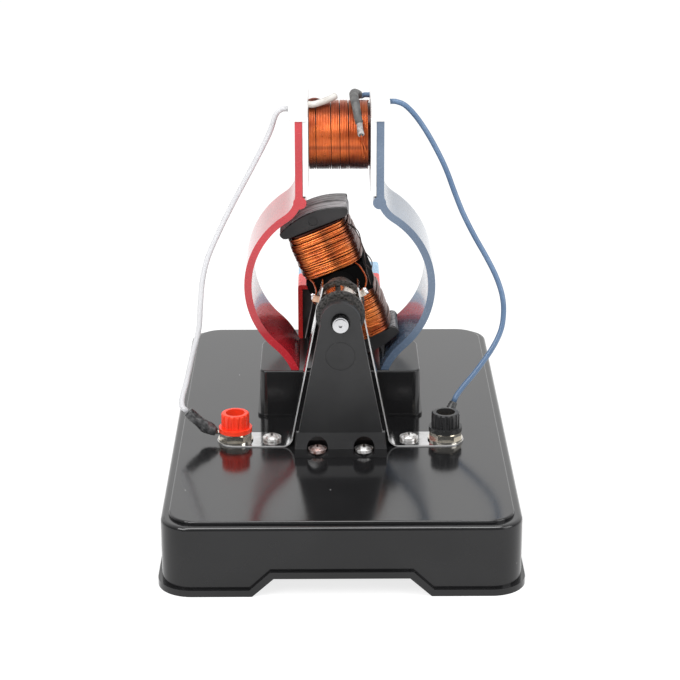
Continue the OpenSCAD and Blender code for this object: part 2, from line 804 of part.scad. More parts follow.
// one half of the black former, from its outer face to the middle plane
module former_half(side) {
    mid = rotor_y;
    outer = side < 0 ? cheek_front : mid + stack_l / 2;
    tube_end = side < 0 ? mid - former_half_y : mid;
    difference() {
        union() {
            along_y(outer, outer + cheek_t) cheek_outline();
            // end wall of the former, joined to both cheeks
            along_y(side < 0 ? mid - former_half_y : outer, side < 0 ? stack_front : mid + former_half_y)
                square([2 * former_half_x, 2 * shoe_flat + 2], center = true);
            along_y(tube_end, tube_end + former_half_y)
                square([2 * former_half_x, 2 * shoe_flat - 2 * seat_gap], center = true);
            // hub and the two inner flanges
            along_y(side < 0 ? mid - hub_y : mid, side < 0 ? mid : mid + hub_y)
                square([2 * (coil_half_x + wire_d), 2 * coil_start - 0.2], center = true);
            if (side < 0) {
                bar_y(5, cheek_front - 8, mid - coil_half_y - 0.2);
                bar_y(coil_start - 0.2, cheek_front - 8, cheek_front + 1);
            }
        }
        along_y(stack_front - seat_gap / 2, stack_front + stack_l + seat_gap / 2)
            square([2 * web_half + seat_gap, 3 * shoe_r], center = true);
        bar_y(shaft_d / 2 + 0.02, cheek_front - 20, cheek_front + 40);
        // the mould dimple in each cheek
        for (s = [-1, 1]) {
            translate([0, 0, s * (shoe_flat + 2.4)])
                bar_y(1.5, outer - 1, side < 0 ? outer + 0.4 : outer - 0.5);
        }
    }
}

module front_former() {
    color("#26282a") on_shaft() former_half(-1);
}

module rear_former() {
    color("#26282a") on_shaft() former_half(1);
}

// plain body of one winding, on the upper side before the rotor's turn
module winding_body() {
    h = shoe_flat - seat_gap - coil_start;
    translate([0, rotor_y, coil_start]) difference() {
        linear_extrude(h) round_rect(2 * coil_half_x, 2 * coil_half_y, coil_depth + 0.6);
        translate([0, 0, -1]) linear_extrude(h + 2)
            square([2 * former_half_x + 0.04, 2 * former_half_y + 0.04], center = true);
    }
}

module upper_winding() {
    color("#b5642a") on_shaft() winding_body();
}

module lower_winding() {
    color("#b5642a") on_shaft() rotate([0, 180, 0]) winding_body();
}

// the drawn turns: a helix round a rectangle with round corners
corner_steps = 5;
turn_corner = coil_depth + 0.6 + wire_d / 2;
turn_lift = wire_d / 2 + 0.03 + turn_corner * (1 - cos(45 / (corner_steps - 1)));
turn_half_x = coil_half_x + turn_lift;
turn_half_y = coil_half_y + turn_lift;
turn_low = coil_start + 1.5;
turn_high = shoe_flat - seat_gap - 1.5;
armature_loops = floor((turn_high - turn_low) / (wire_d + 0.45));
armature_pitch = (turn_high - turn_low) / armature_loops;
armature_steps = 4 * corner_steps;

// point of the rounded rectangle at one step, counted round the corners
function corner_point(k) = let (
    c = floor(k / corner_steps) % 4,
    a = 90 * c + 90 * (k % corner_steps) / (corner_steps - 1),
    sx = c == 0 || c == 3 ? 1 : -1,
    sy = c < 2 ? 1 : -1)
    [sx * (turn_half_x - turn_corner) + turn_corner * cos(a),
     sy * (turn_half_y - turn_corner) + turn_corner * sin(a)];
function armature_helix() = [for (k = [0 : armature_steps * armature_loops])
    let (p = corner_point(k)) [p[0], p[1], turn_low + armature_pitch * k / armature_steps]];
// each end turns along the pole and runs straight into its flange
function ends_along_z(path, low, high) = let (a = path[0], b = path[len(path) - 1])
    concat([[a[0], a[1] - 1.5, low], [a[0], a[1] - 1.5, low + wire_d],
        [a[0], a[1] - 1.1, a[2] - 0.15]], path,
        [[b[0], b[1] + 1.1, b[2] + 0.15], [b[0], b[1] + 1.5, high - wire_d],
        [b[0], b[1] + 1.5, high]]);
armature_path = ends_along_z(armature_helix(), coil_start - 0.1, shoe_flat - seat_gap);

module winding_turns() {
    translate([0, rotor_y, 0]) tube(armature_path, wire_d, 6);
}

module upper_turns() {
    color("#d9813a") on_shaft() winding_turns();
}

module lower_turns() {
    color("#d9813a") on_shaft() rotate([0, 180, 0]) winding_turns();
}

// ------------------------------------------------------------ commutator

module commutator_hub() {
    color("#2c2b2c") translate([0, 0, axis_z]) difference() {
        union() {
            bar_y(flange_r, drum_y0 - flange_l, drum_y0);
            bar_y(drum_r - segment_t - 0.02, drum_y0 - hair, drum_y1 + hair);
            bar_y(flange_r, drum_y1, drum_y1 + flange_l);
            bar_y(5, drum_y1, cheek_front - 8 - hair);
        }
        bar_y(shaft_d / 2 + 0.02, drum_y0 - 4, cheek_front);
    }
}

module segment(side) {
    half_slot = asin(slot_w / 2 / drum_r);
    mid = side > 0 ? -slot_angle : 180 - slot_angle;
    color("#b87333") translate([0, 0, axis_z]) rotate([0, mid, 0]) {
        along_y(drum_y0 + hair, drum_y1 - hair)
            ring_slice(drum_r - segment_t, drum_r, -90 + half_slot, 90 - half_slot);
        rotate([0, side > 0 ? slot_angle - 27 : 13 - (slot_angle - 12), 0])
            along_y(drum_y1 - hair - ear_t, drum_y1 - hair)
            translate([drum_r - 0.5, -1]) square([ear_r - drum_r + 0.5, 2]);
    }
}

module left_segment() {
    segment(-1);
}

module right_segment() {
    segment(1);
}

// --------------------------------------------------------------- brushes

// the left brush: a foot on the platform, a bend and a leaf up to the drum
mid_r = brush_bend + brush_t / 2;
face_r = drum_r + brush_gap;
// the leaf's slope follows from its foot and the drum it has to touch
leaf_centre_x = leaf_foot_half;
leaf_centre_z = deck_z + brush_t + brush_bend;
leaf_dist = norm([leaf_centre_x, axis_z - leaf_centre_z]);
leaf_slope = atan2(leaf_centre_x, axis_z - leaf_centre_z)
    - asin((face_r + brush_bend + brush_t) / leaf_dist);
leaf_run = sqrt(pow(leaf_dist, 2) - pow(face_r + brush_bend + brush_t, 2));

module brush_profile() {
    translate([-post_x - brush_w / 2, deck_z])
        square([post_x + brush_w / 2 - leaf_centre_x, brush_t]);
    translate([-leaf_centre_x, leaf_centre_z])
        ring_slice(brush_bend, brush_bend + brush_t, -90, -leaf_slope);
}

module left_brush() {
    color("#d7dade") difference() {
        union() {
            intersection() {
                along_y(brush_y - brush_w / 2, brush_y + brush_w / 2) brush_profile();
                union() {
                    translate([-post_x, brush_y, 0]) cylinder(r = brush_w / 2, h = axis_z);
                    translate([-post_x, brush_y - brush_w, 0]) cube([post_x, 2 * brush_w, axis_z]);
                }
            }
            along_y(leaf_y - leaf_w / 2, leaf_y + leaf_w / 2)
                translate([-leaf_centre_x, leaf_centre_z]) rotate(-leaf_slope)
                translate([brush_bend, -0.3]) square([brush_t, leaf_run + leaf_past]);
        }
        translate([-post_x, brush_y, deck_z - 1]) cylinder(r = post_d / 2 + 0.1, h = 3);
        translate([-brush_screw_x, brush_y, deck_z - 1]) cylinder(r = thread_r + 0.2, h = 3);
    }
}

module right_brush() {
    mirror([1, 0, 0]) left_brush();
}

module brush_screws() {
    color("#d4d6da") for (x = [-1, 1]) {
        translate([x * brush_screw_x, brush_y, deck_z + brush_t]) pan_screw(boss_h - 1);
    }
}

// ------------------------------------------------------------- terminals

module at_posts() {
    for (x = [-1, 1]) {
        translate([x * post_x, brush_y, 0]) children();
    }
}

module binding_posts() {
    color("#c8a24a") at_posts() difference() {
        translate([0, 0, post_bottom]) cylinder(r = post_d / 2, h = post_top - post_bottom);
        translate([0, 0, post_top - socket_depth]) cylinder(r = socket_d / 2, h = socket_depth + 1);
    }
}

module ring(z, h, r_in, r_out) {
    translate([0, 0, z]) difference() {
        cylinder(r = r_out, h = h);
        translate([0, 0, -1]) cylinder(r = r_in, h = h + 2);
    }
}

module hex_nut(z, h, flats) {
    translate([0, 0, z]) difference() {
        cylinder(r = flats / sqrt(3), h = h, $fn = 6);
        translate([0, 0, -1]) cylinder(r = post_d / 2 + post_fit, h = h + 2);
    }
}

module post_washers() {
    color("#d0d2d6") at_posts() ring(washer_z, washer_h, post_d / 2 + post_fit, brush_w / 2 - 0.2);
}

module post_nuts() {
    color("#d0d2d6") at_posts() hex_nut(nut_z, nut_h, nut_flats);
}

module under_nuts() {
    color("#c8a24a") at_posts() hex_nut(plate_bottom - under_nut_h, under_nut_h, nut_flats);
}

module insert() {
    ring(knob_z, insert_h, post_d / 2 + post_fit, insert_r);
}

module knob() {
    difference() {
        union() {
            translate([0, 0, knob_z]) cylinder(r = collar_d / 2, h = 1.4);
            translate([0, 0, knob_z]) cylinder(r = knob_d / 2, h = knob_h - 0.5);
            translate([0, 0, knob_z]) cylinder(r = knob_d / 2 - 0.5, h = knob_h);
            translate([0, 0, knob_z + knob_h - 0.5]) rotate_extrude()
                translate([knob_d / 2 - 0.5, 0]) circle(0.5);
        }
        translate([0, 0, knob_z - 1]) cylinder(r = insert_r + 0.03, h = insert_h + 1.02);
        translate([0, 0, knob_z - 1]) cylinder(r = post_d / 2 + 0.15, h = knob_h + 2);
        for (k = [0 : flutes - 1]) {
            rotate(360 * k / flutes) translate([knob_d / 2 + 0.15, 0, knob_z + 1.4])
                cylinder(r = 0.5, h = knob_h, $fn = 24);
        }
    }
}

module red_insert() {
    color("#c8a24a") translate([-post_x, brush_y, 0]) insert();
}

module red_knob() {
    color("#d3141f") translate([-post_x, brush_y, 0]) knob();
}

module black_insert() {
    color("#c8a24a") translate([post_x, brush_y, 0]) insert();
}

module black_knob() {
    color("#1a1a1c") translate([post_x, brush_y, 0]) knob();
}

// ring terminal with a tongue towards its sleeve
module lug(angle, reach) {
    translate([0, 0, lug_z]) rotate(angle) linear_extrude(lug_t) difference() {
        union() {
            circle(4.3);
            translate([0, -1.1]) square([reach, 2.2]);
        }
        circle(post_d / 2 + post_fit);
    }
}

module red_lug() {
    color("#c9ccd0") translate([-post_x, brush_y, 0]) lug(185, lug_reach + 0.3);
}

module black_lug() {
    color("#c9ccd0") translate([post_x, brush_y, 0]) lug(84, lug_reach + 1.5);
}

module white_boot() {
    color("#3a3c3e") bar_to(white_boot_start, white_boot_dir, boot_d / 2, boot_l);
}

module blue_boot() {
    color("#3a3c3e") bar_to(blue_boot_start, blue_boot_dir, boot_d / 2, blue_boot_l);
}

// ------------------------------------------------------------ field coil

module coil_bobbin() {
    color("#f2f2ef") difference() {
        union() {
            translate([0, yoke_y, coil_z]) bar_x(tube_r, -flange_x + 1, flange_x - 1);
            for (s = [-1, 1]) {
                along_y(yoke_y - strip_w / 2, yoke_y + strip_w / 2)
                    translate([s > 0 ? coil_half : -flange_x, flange_bottom])
                    square([flange_t, cap_z + 1 - flange_bottom]);
                translate([s * (coil_half + cap_x) / 2, yoke_y, cap_z])
                    soft_slab(cap_x - coil_half, strip_w + 0.8, cap_h, 1.2, 0.6);
            }
        }
        translate([0, yoke_y, coil_z]) bar_x(core_r + post_fit, -cap_x, cap_x);
    }
}

module coil_core() {
    color("#8d9196") translate([0, yoke_y, coil_z]) bar_x(core_r, -flange_x, flange_x);
}

module field_winding() {
    color("#b5642a") translate([0, yoke_y, coil_z]) difference() {
        bar_x(drum_wire_r, -coil_half + hair, coil_half - hair);
        bar_x(tube_r + 0.02, -coil_half - 1, coil_half + 1);
    }
}

field_low = -coil_half + 1.1;
field_loops = floor(-2 * field_low / (wire_d + 0.45));
field_pitch = -2 * field_low / field_loops;
field_start = 90;
function field_helix() = [for (k = [0 : field_steps * field_loops])
    let (a = field_start + 360 * k / field_steps)
    [field_low + field_pitch * k / field_steps, field_turn_r * cos(a), field_turn_r * sin(a)]];
function field_end(side, da, x) = let (a = field_start + side * da)
    [side * x, field_turn_r * cos(a), field_turn_r * sin(a)];
// each end turns along the drum and runs straight into its flange
field_path = concat(
    [field_end(-1, 15, coil_half), field_end(-1, 15, coil_half - wire_d + 0.1),
     field_end(-1, 10, -field_low + 0.1)],
    field_helix(),
    [field_end(1, 10, -field_low + 0.1), field_end(1, 15, coil_half - wire_d + 0.1),
     field_end(1, 15, coil_half)]);

module field_turns() {
    color("#d9813a") translate([0, yoke_y, coil_z]) tube(field_path, wire_d, 6);
}

module white_sleeve() {
    color("#ececea") tube(white_sleeve_route, 2 * white_sleeve_r, 10);
}

module grey_sleeve() {
    color("#5c5e60") tube(grey_route, 2 * sleeve_r, 10);
}

module white_lead() {
    color("#f4f4f4") tube(smooth(white_route, 2), lead_d, 8);
}

module blue_lead() {
    color("#4f6f96") tube(smooth(blue_route, 2), lead_d, 8);
}

module blue_tail() {
    color("#4f6f96") tube(smooth(tail_route, 2), lead_d, 8);
}

// --------------------------------------------------------- spare magnet

module magnet_block() {
    color("#2a2a2c") translate([0, magnet_front + magnet_l / 2, deck_z + sleeve_wall + seat_gap / 2])
        linear_extrude(magnet_h - 2 * sleeve_wall - seat_gap)
        square([magnet_w - 2 * sleeve_wall - seat_gap, magnet_l - 2.4], center = true);
}

// a square sleeve round one half of the block
module magnet_sleeve(y0, y1) {
    along_y(y0, y1) difference() {
        translate([0, deck_z + magnet_h / 2]) round_rect(magnet_w, magnet_h, 1);
        translate([0, deck_z + magnet_h / 2])
            square([magnet_w - 2 * sleeve_wall, magnet_h - 2 * sleeve_wall], center = true);
    }
}

module magnet_red_sleeve() {
    color("#d8262c") magnet_sleeve(magnet_front, magnet_front + magnet_l / 2);
}

module magnet_blue_sleeve() {
    color("#a9cfe6") magnet_sleeve(magnet_front + magnet_l / 2, magnet_front + magnet_l);
}

// least distance between the surfaces of neighbouring turns, measured on points
function turn_gap(path, per_loop, d) = min([for (i = [per_loop + 4 : len(path) - 5],
    k = [i - per_loop - 2 : i - per_loop + 2]) norm(path[i] - path[max(k, 0)])]) - d;
echo(field_turn_gap = turn_gap(field_path, field_steps, wire_d));
echo(armature_turn_gap = turn_gap(armature_path, armature_steps, wire_d));

base();
pole_seat();
seat_screws();
red_pole();
blue_pole();
front_bracket();
rear_bracket();
front_bracket_screws();
rear_bracket_screws();
shaft();
front_spacer();
rear_spacer();
armature_core();
front_former();
rear_former();
upper_winding();
lower_winding();
upper_turns();
lower_turns();
commutator_hub();
left_segment();
right_segment();
left_brush();
right_brush();
brush_screws();
binding_posts();
post_washers();
post_nuts();
under_nuts();
red_insert();
red_knob();
black_insert();
black_knob();
red_lug();
black_lug();
white_boot();
blue_boot();
coil_bobbin();
coil_core();
field_winding();
field_turns();
white_sleeve();
grey_sleeve();
white_lead();
blue_lead();
blue_tail();
magnet_block();
magnet_red_sleeve();
magnet_blue_sleeve();
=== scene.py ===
"""Dresses the demonstration motor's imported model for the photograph's view.

Everything is in metres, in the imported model's frame: +Z up, +Y to the back.
"""

import json
import math
import random

import bpy
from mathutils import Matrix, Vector


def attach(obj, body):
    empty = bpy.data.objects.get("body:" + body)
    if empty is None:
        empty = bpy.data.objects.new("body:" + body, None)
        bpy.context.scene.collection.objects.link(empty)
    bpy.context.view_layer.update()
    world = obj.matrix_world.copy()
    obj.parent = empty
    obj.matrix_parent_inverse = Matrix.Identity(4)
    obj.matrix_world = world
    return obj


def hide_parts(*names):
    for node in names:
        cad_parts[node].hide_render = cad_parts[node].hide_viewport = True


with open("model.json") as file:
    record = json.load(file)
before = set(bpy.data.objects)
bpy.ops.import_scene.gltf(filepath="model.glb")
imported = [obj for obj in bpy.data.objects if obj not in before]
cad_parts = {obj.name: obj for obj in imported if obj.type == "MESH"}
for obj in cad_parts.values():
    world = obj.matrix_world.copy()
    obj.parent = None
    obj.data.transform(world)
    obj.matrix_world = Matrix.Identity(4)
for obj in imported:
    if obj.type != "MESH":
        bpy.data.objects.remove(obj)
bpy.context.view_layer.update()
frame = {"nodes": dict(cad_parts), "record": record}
NODES = frame["nodes"]
MM = 0.001

# ------------------------------------------------------------------ camera

CAMERA_AT = (-0.00345, -0.63522, 0.27190)
CAMERA_TURN = (70.5215, 0.0961, -0.3483)
LENS_MM = 112.463


def add_camera():
    data = bpy.data.cameras.new("camera")
    data.lens = LENS_MM
    data.sensor_width = 36.0
    cam = bpy.data.objects.new("camera", data)
    cam.location = CAMERA_AT
    cam.rotation_euler = [math.radians(a) for a in CAMERA_TURN]
    bpy.context.scene.collection.objects.link(cam)
    bpy.context.scene.camera = cam


add_camera()

# ------------------------------------------- sizes repeated from the source

DECK = 22.0
AXIS_Z = 64.8
POST_X = 32.6
BRUSH_Y = -22.0
YOKE_Y = 13.2
ROTOR_Y = 12.2
ROTOR_LEAN = math.radians(-22.0)
LEAD_D = 1.7
CAP_X = 15.75
EXIT_Z = 118.5 + 4.2 * 0.6
LUG_Z = DECK + 0.4 + 0.6 + 1.7

COIL_Z = 110.8
COIL_HALF = 9.65
COIL_OUTER = 10.9          # outside of the drawn field turns
COIL_START = 4.6           # the rotor coils, from the shaft outwards
COIL_END = 19.7
TURN_HALF_X = 9.28
TURN_HALF_Y = 10.68
TURN_CORNER = 4.0
WIRE_D = 0.5               # the field coil's enamelled wire
ROTOR_WIRE_D = 0.62        # and the armature's
SLEEVE_R = 1.4
WHITE_SLEEVE_R = 1.1
DRUM_BACK = -16.1
EAR_R = 8.6
LEG_SCREW_X = 7.1
STACK_FRONT = 5.2
SEAMS = (0.3, 2.4, 5.9, 9.6, 12.2)
BEAD_Z = 91.8              # middle of the bead on each strip
STRIP_INNER = 11.45


DRESSED = []               # every piece made here, with its look


def unit(v):
    return Vector(v).normalized()


# ------------------------------------------------------------------- cords

WHITE_BOOT_L = 9.9
BLUE_BOOT_L = 6.0
LUG_REACH = 6.9            # from a post's axis to the boot on its ring terminal
WHITE_BOOT_START = Vector((-POST_X - LUG_REACH, BRUSH_Y - 0.6, LUG_Z + 1.1))
WHITE_BOOT_DIR = unit((-0.8, 0.1, 0.59))
WHITE_BOOT_END = WHITE_BOOT_START + WHITE_BOOT_L * WHITE_BOOT_DIR
BLUE_BOOT_START = Vector((POST_X + 0.6, BRUSH_Y + LUG_REACH, LUG_Z + 1.3))
BLUE_BOOT_DIR = unit((0.4, 0.36, 0.84))
BLUE_BOOT_END = BLUE_BOOT_START + BLUE_BOOT_L * BLUE_BOOT_DIR

WHITE_ROUTE = [
    (-CAP_X, YOKE_Y - 8.2, EXIT_Z), (-CAP_X - LEAD_D, YOKE_Y - 8.2, EXIT_Z),
    (-19.6, 4.7, 119.2), (-21.7, 4.2, 113.4), (-26.6, 2.5, 104), (-32.6, 1, 93),
    (-37.3, -1, 84), (-41, -4, 76), (-42.7, -6.5, 69.4), (-43.4, -9, 62),
    (-44, -11, 54.6), (-46, -13, 47), (-47.8, -15.4, 39.4), (-49.2, -18.6, 34.4),
    tuple(WHITE_BOOT_END + LEAD_D * WHITE_BOOT_DIR), tuple(WHITE_BOOT_END),
]
BLUE_ROUTE = [
    (CAP_X, YOKE_Y + 1.4, EXIT_Z), (CAP_X + LEAD_D, YOKE_Y + 1.4, EXIT_Z),
    (20.4, 14, 120), (23.6, 13, 117), (27.2, 12, 112), (31, 10.5, 105.4),
    (33.6, 9, 100), (35.9, 7.5, 94), (38.6, 6, 87.4), (42.2, 4.5, 80.4),
    (46.2, 2.5, 73.6), (49.3, 0.5, 67.6), (51.1, -2, 62), (51.4, -3.5, 56.6),
    (50.4, -5.2, 51.6), (47.4, -7, 46), (42.4, -9.4, 39.6), (38.6, -11, 35.4),
    tuple(BLUE_BOOT_END + LEAD_D * BLUE_BOOT_DIR), tuple(BLUE_BOOT_END),
]


def spline(p, i, u):
    """Catmull-Rom point in span i of the points."""
    a, b, c, d = p[max(i - 1, 0)], p[i], p[i + 1], p[min(i + 2, len(p) - 1)]
    return 0.5 * (2 * b + (c - a) * u + (2 * a - 5 * b + 4 * c - d) * u * u
                  + (3 * b - a - 3 * c + d) * u * u * u)


def smooth(points, steps):
    """The route rounded as in the source: both end spans stay straight."""
    p = [Vector(q) for q in points]
    out = [p[0]]
    for i in range(1, len(p) - 2):
        out += [spline(p, i, k / steps) for k in range(steps)]
    return out + p[-2:]


def flowing(points, steps):
    """A route rounded over its whole length."""
    p = [Vector(q) for q in points]
    out = [spline(p, i, k / steps) for i in range(len(p) - 1) for k in range(steps)]
    return out + [p[-1]]


def length_of(points):
    return sum((b - a).length for a, b in zip(points, points[1:]))


def link(obj):
    bpy.context.scene.collection.objects.link(obj)
    return obj


def add_mesh(name, verts_mm, faces, slot, body="frame", replaces=None):
    """A piece of its own from points in millimetres."""
    mesh = bpy.data.meshes.new(name)
    mesh.from_pydata([tuple(c * MM for c in v) for v in verts_mm], [], faces)
    for poly in mesh.polygons:
        poly.use_smooth = True
    obj = link(bpy.data.objects.new(name, mesh))
    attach(obj, body)
    if replaces:
        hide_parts(replaces)
    DRESSED.append((obj, slot))
    return obj


def tube_parts(points, radius, sides, squash=None):
    """Rings of vertices along a path, closed by a fan at each end.

    radius is a number or a function of the share of the path. squash gives the
    section's shape, from that share and the angle round the path."""
    p = [Vector(q) for q in points]
    n = len(p)
    tangents = [(p[min(i + 1, n - 1)] - p[max(i - 1, 0)]).normalized() for i in range(n)]
    side = tangents[0].orthogonal().normalized()
    verts, faces = [], []
    for i, (q, t) in enumerate(zip(p, tangents)):
        side = (side - t * side.dot(t)).normalized()
        up = t.cross(side)
        share = i / (n - 1)
        r = radius(share) if callable(radius) else radius
        for k in range(sides):
            a = 2 * math.pi * k / sides
            grow = squash(share, a) if squash else 1.0
            verts.append(q + (side * math.cos(a) + up * math.sin(a)) * r * grow)
    for i in range(n - 1):
        for k in range(sides):
            j = (k + 1) % sides
            faces.append((i * sides + k, i * sides + j, (i + 1) * sides + j, (i + 1) * sides + k))
    faces.append(tuple(reversed(range(sides))))
    faces.append(tuple(range((n - 1) * sides, n * sides)))
    return verts, faces


def add_tube(name, points, radius, slot, sides=12, squash=None, **more):
    verts, faces = tube_parts(points, radius, sides, squash)
    return add_mesh(name, verts, faces, slot, **more)


def make_lead(name, node, route, slot):
    points = smooth(route, 6)
    piece = add_tube(name, points, LEAD_D / 2, slot, sides=16, replaces=node)
    tuple(c * MM for c in route[0])
    length_of(points) * MM
    [tuple(c * MM for c in p) for p in points]


make_lead("white_wire", "white_lead", WHITE_ROUTE, "wire_white")
make_lead("blue_wire", "blue_lead", BLUE_ROUTE, "wire_blue")

# ---------------------------------------------------------------- windings

dice = random.Random(7)


def on_rotor(v, flip=False):
    """A point of the upright rotor, in its leaning rest position."""
    x, y, z = v
    if flip:
        x, z = -x, -z
    c, s = math.cos(ROTOR_LEAN), math.sin(ROTOR_LEAN)
    return Vector((x * c + z * s, y, -x * s + z * c + AXIS_Z))


def drift(count, reach, keep=0.75):
    """A slowly wandering list of offsets."""
    value, out = 0.0, []
    for _ in range(count):
        value = keep * value + dice.uniform(-reach, reach) * (1 - keep * keep) ** 0.5
        out.append(value)
    return out


# where the field turns stand a little apart, along the coil
FIELD_GAPS = (-7.5, -3.4, -0.9, 1.5, 8.6)


def field_turns():
    gap, turns, steps = 0.32, 35, 40
    low, high = -COIL_HALF + 0.35, COIL_HALF - 0.35
    pitch = (high - low - gap * len(FIELD_GAPS)) / turns
    ranks = [sum(1 for g in FIELD_GAPS if low + pitch * i > g) for i in range(turns + 1)]
    places = [low + pitch * i + gap * ranks[i] for i in range(turns + 1)]
    lifts = drift(turns + 1, 0.05, 0.3)
    points = []
    for i in range(turns):
        for k in range(steps):
            u = k / steps
            a = math.pi / 2 + 2 * math.pi * u
            x = places[i] + (places[i + 1] - places[i]) * u
            r = COIL_OUTER - 0.08 - WIRE_D / 2 + lifts[i] + (lifts[i + 1] - lifts[i]) * u
            points.append((x, YOKE_Y + r * math.cos(a), COIL_Z + r * math.sin(a)))
    add_tube("field_wire", points, WIRE_D / 2 + 0.03, "field_copper", sides=10, replaces="field_turns")


def corner_loop(half_x, half_y, corner, z_at, steps=6, straight=6, belly=0.5):
    """One turn round the rotor's pole, with z from the share of the turn.

    Between the corners the wire stands off its former a little."""
    spots = []
    for c, (sx, sy) in enumerate(((1, 1), (-1, 1), (-1, -1), (1, -1))):
        for k in range(steps):
            a = math.radians(90 * c + 90 * k / (steps - 1))
            spots.append((sx * (half_x - corner) + corner * math.cos(a),
                          sy * (half_y - corner) + corner * math.sin(a)))
        a = math.radians(90 * c + 90)
        nx, ny = ((-1, 1), (-1, -1), (1, -1), (1, 1))[c]
        end = (sx * (half_x - corner) + corner * math.cos(a), sy * (half_y - corner) + corner * math.sin(a))
        nxt = (nx * (half_x - corner) + corner * math.cos(a), ny * (half_y - corner) + corner * math.sin(a))
        for k in range(1, straight):
            u = k / straight
            out = belly * math.sin(math.pi * u)
            spots.append((end[0] + (nxt[0] - end[0]) * u + out * math.cos(a),
                          end[1] + (nxt[1] - end[1]) * u + out * math.sin(a)))
    return [(x, y, z_at(i / len(spots))) for i, (x, y) in enumerate(spots)]


def rotor_turns(name, node, flip):
    turns = 23
    low, high = COIL_START + 0.4, COIL_END - 0.4
    pitch = (high - low) / turns
    lifts = drift(turns + 2, 0.3, 0.2)
    sags = [drift(turns + 2, 0.26, 0.45) for _ in range(4)]
    points = []
    for i in range(turns):
        def z_at(u, i=i):
            q = u * 4
            c, f = int(q) % 4, q - int(q)
            f = f * f * (3 - 2 * f)
            wave = sags[c][i] * (1 - f) + (sags[(c + 1) % 4][i + (c == 3)]) * f
            return low + pitch * (i + u) + wave
        grow = lifts[i] - 0.05 + (0.25 if 3 < i < turns - 3 else 0.0)
        points += [(x, ROTOR_Y + y, z) for x, y, z in
                   corner_loop(TURN_HALF_X + grow, TURN_HALF_Y + grow, TURN_CORNER + grow * 0.5, z_at)]
    points = [on_rotor(p, flip) for p in points]
    add_tube(name, points, ROTOR_WIRE_D / 2, "rotor_copper", sides=10, body="rotor", replaces=node)


def stray_turns(name, flip, rows):
    """Single turns that lie slantwise over the others."""
    for n, (z0, slant, phase, out) in enumerate(rows):
        loop = corner_loop(TURN_HALF_X + out, TURN_HALF_Y + out, TURN_CORNER + 0.2,
                           lambda u: z0 + slant * math.sin(2 * math.pi * u + phase), steps=7, straight=6)
        points = [on_rotor((x, ROTOR_Y + y, z), flip) for x, y, z in loop + loop[:1]]
        add_tube("%s_%d" % (name, n), points, ROTOR_WIRE_D / 2, "rotor_copper", sides=10, body="rotor")


field_turns()
rotor_turns("upper_wire", "upper_turns", False)
rotor_turns("lower_wire", "lower_turns", True)
# each row: distance from the shaft, slant, phase of the slant, stand-off
stray_turns("upper_stray", False, ((7.2, 0.9, 0.4, 0.42), (10.9, 1.3, 2.2, 0.5),
                                   (14.2, 1.0, 4.4, 0.46), (17.0, 0.8, 1.2, 0.4)))
stray_turns("lower_stray", True, ((8.0, 1.1, 3.6, 0.44), (12.4, 1.2, 0.8, 0.5),
                                  (16.0, 0.9, 5.2, 0.42)))

# ------------------------------------------------------ sleeves and boots


def over_coil(x, angle, lift):
    """A point outside the field winding, as the source places its sleeves."""
    r = COIL_OUTER + 0.16 + lift
    a = math.radians(angle)
    return Vector((x, YOKE_Y + r * math.cos(a), COIL_Z + r * math.sin(a)))


def crumpled(amount, waves, phase):
    """A section that is never quite round, changing along its path."""
    def at(share, a):
        return 1 + amount * (math.sin(2 * a + waves * share + phase)
                             + 0.6 * math.sin(3 * a - 1.7 * waves * share + 2 * phase)
                             + 0.4 * math.sin(9.0 * waves * share + a + phase)) / 2
    return at


def ring_end(name, at, along, outer, inner, depth, slot, sides=20):
    """The open end of a sleeve: a rim with a hole that has a floor."""
    z = unit(along)
    x = z.orthogonal().normalized()
    y = z.cross(x)
    rows = [(outer, -depth), (outer, 0.0), ((outer + inner) / 2, 0.12), (inner, 0.0),
            (inner * 0.9, -depth * 0.8)]
    verts, faces = [], []
    for r, h in rows:
        for k in range(sides):
            a = 2 * math.pi * k / sides
            w = 1 + 0.07 * math.sin(3 * a + 1.0)
            verts.append(Vector(at) + (x * math.cos(a) + y * math.sin(a)) * r * w + z * h)
    for i in range(len(rows) - 1):
        for k in range(sides):
            j = (k + 1) % sides
            faces.append((i * sides + k, i * sides + j, (i + 1) * sides + j, (i + 1) * sides + k))
    faces.append(tuple(reversed(range(sides))))
    faces.append(tuple(range((len(rows) - 1) * sides, len(rows) * sides)))
    add_mesh(name, verts, faces, slot)


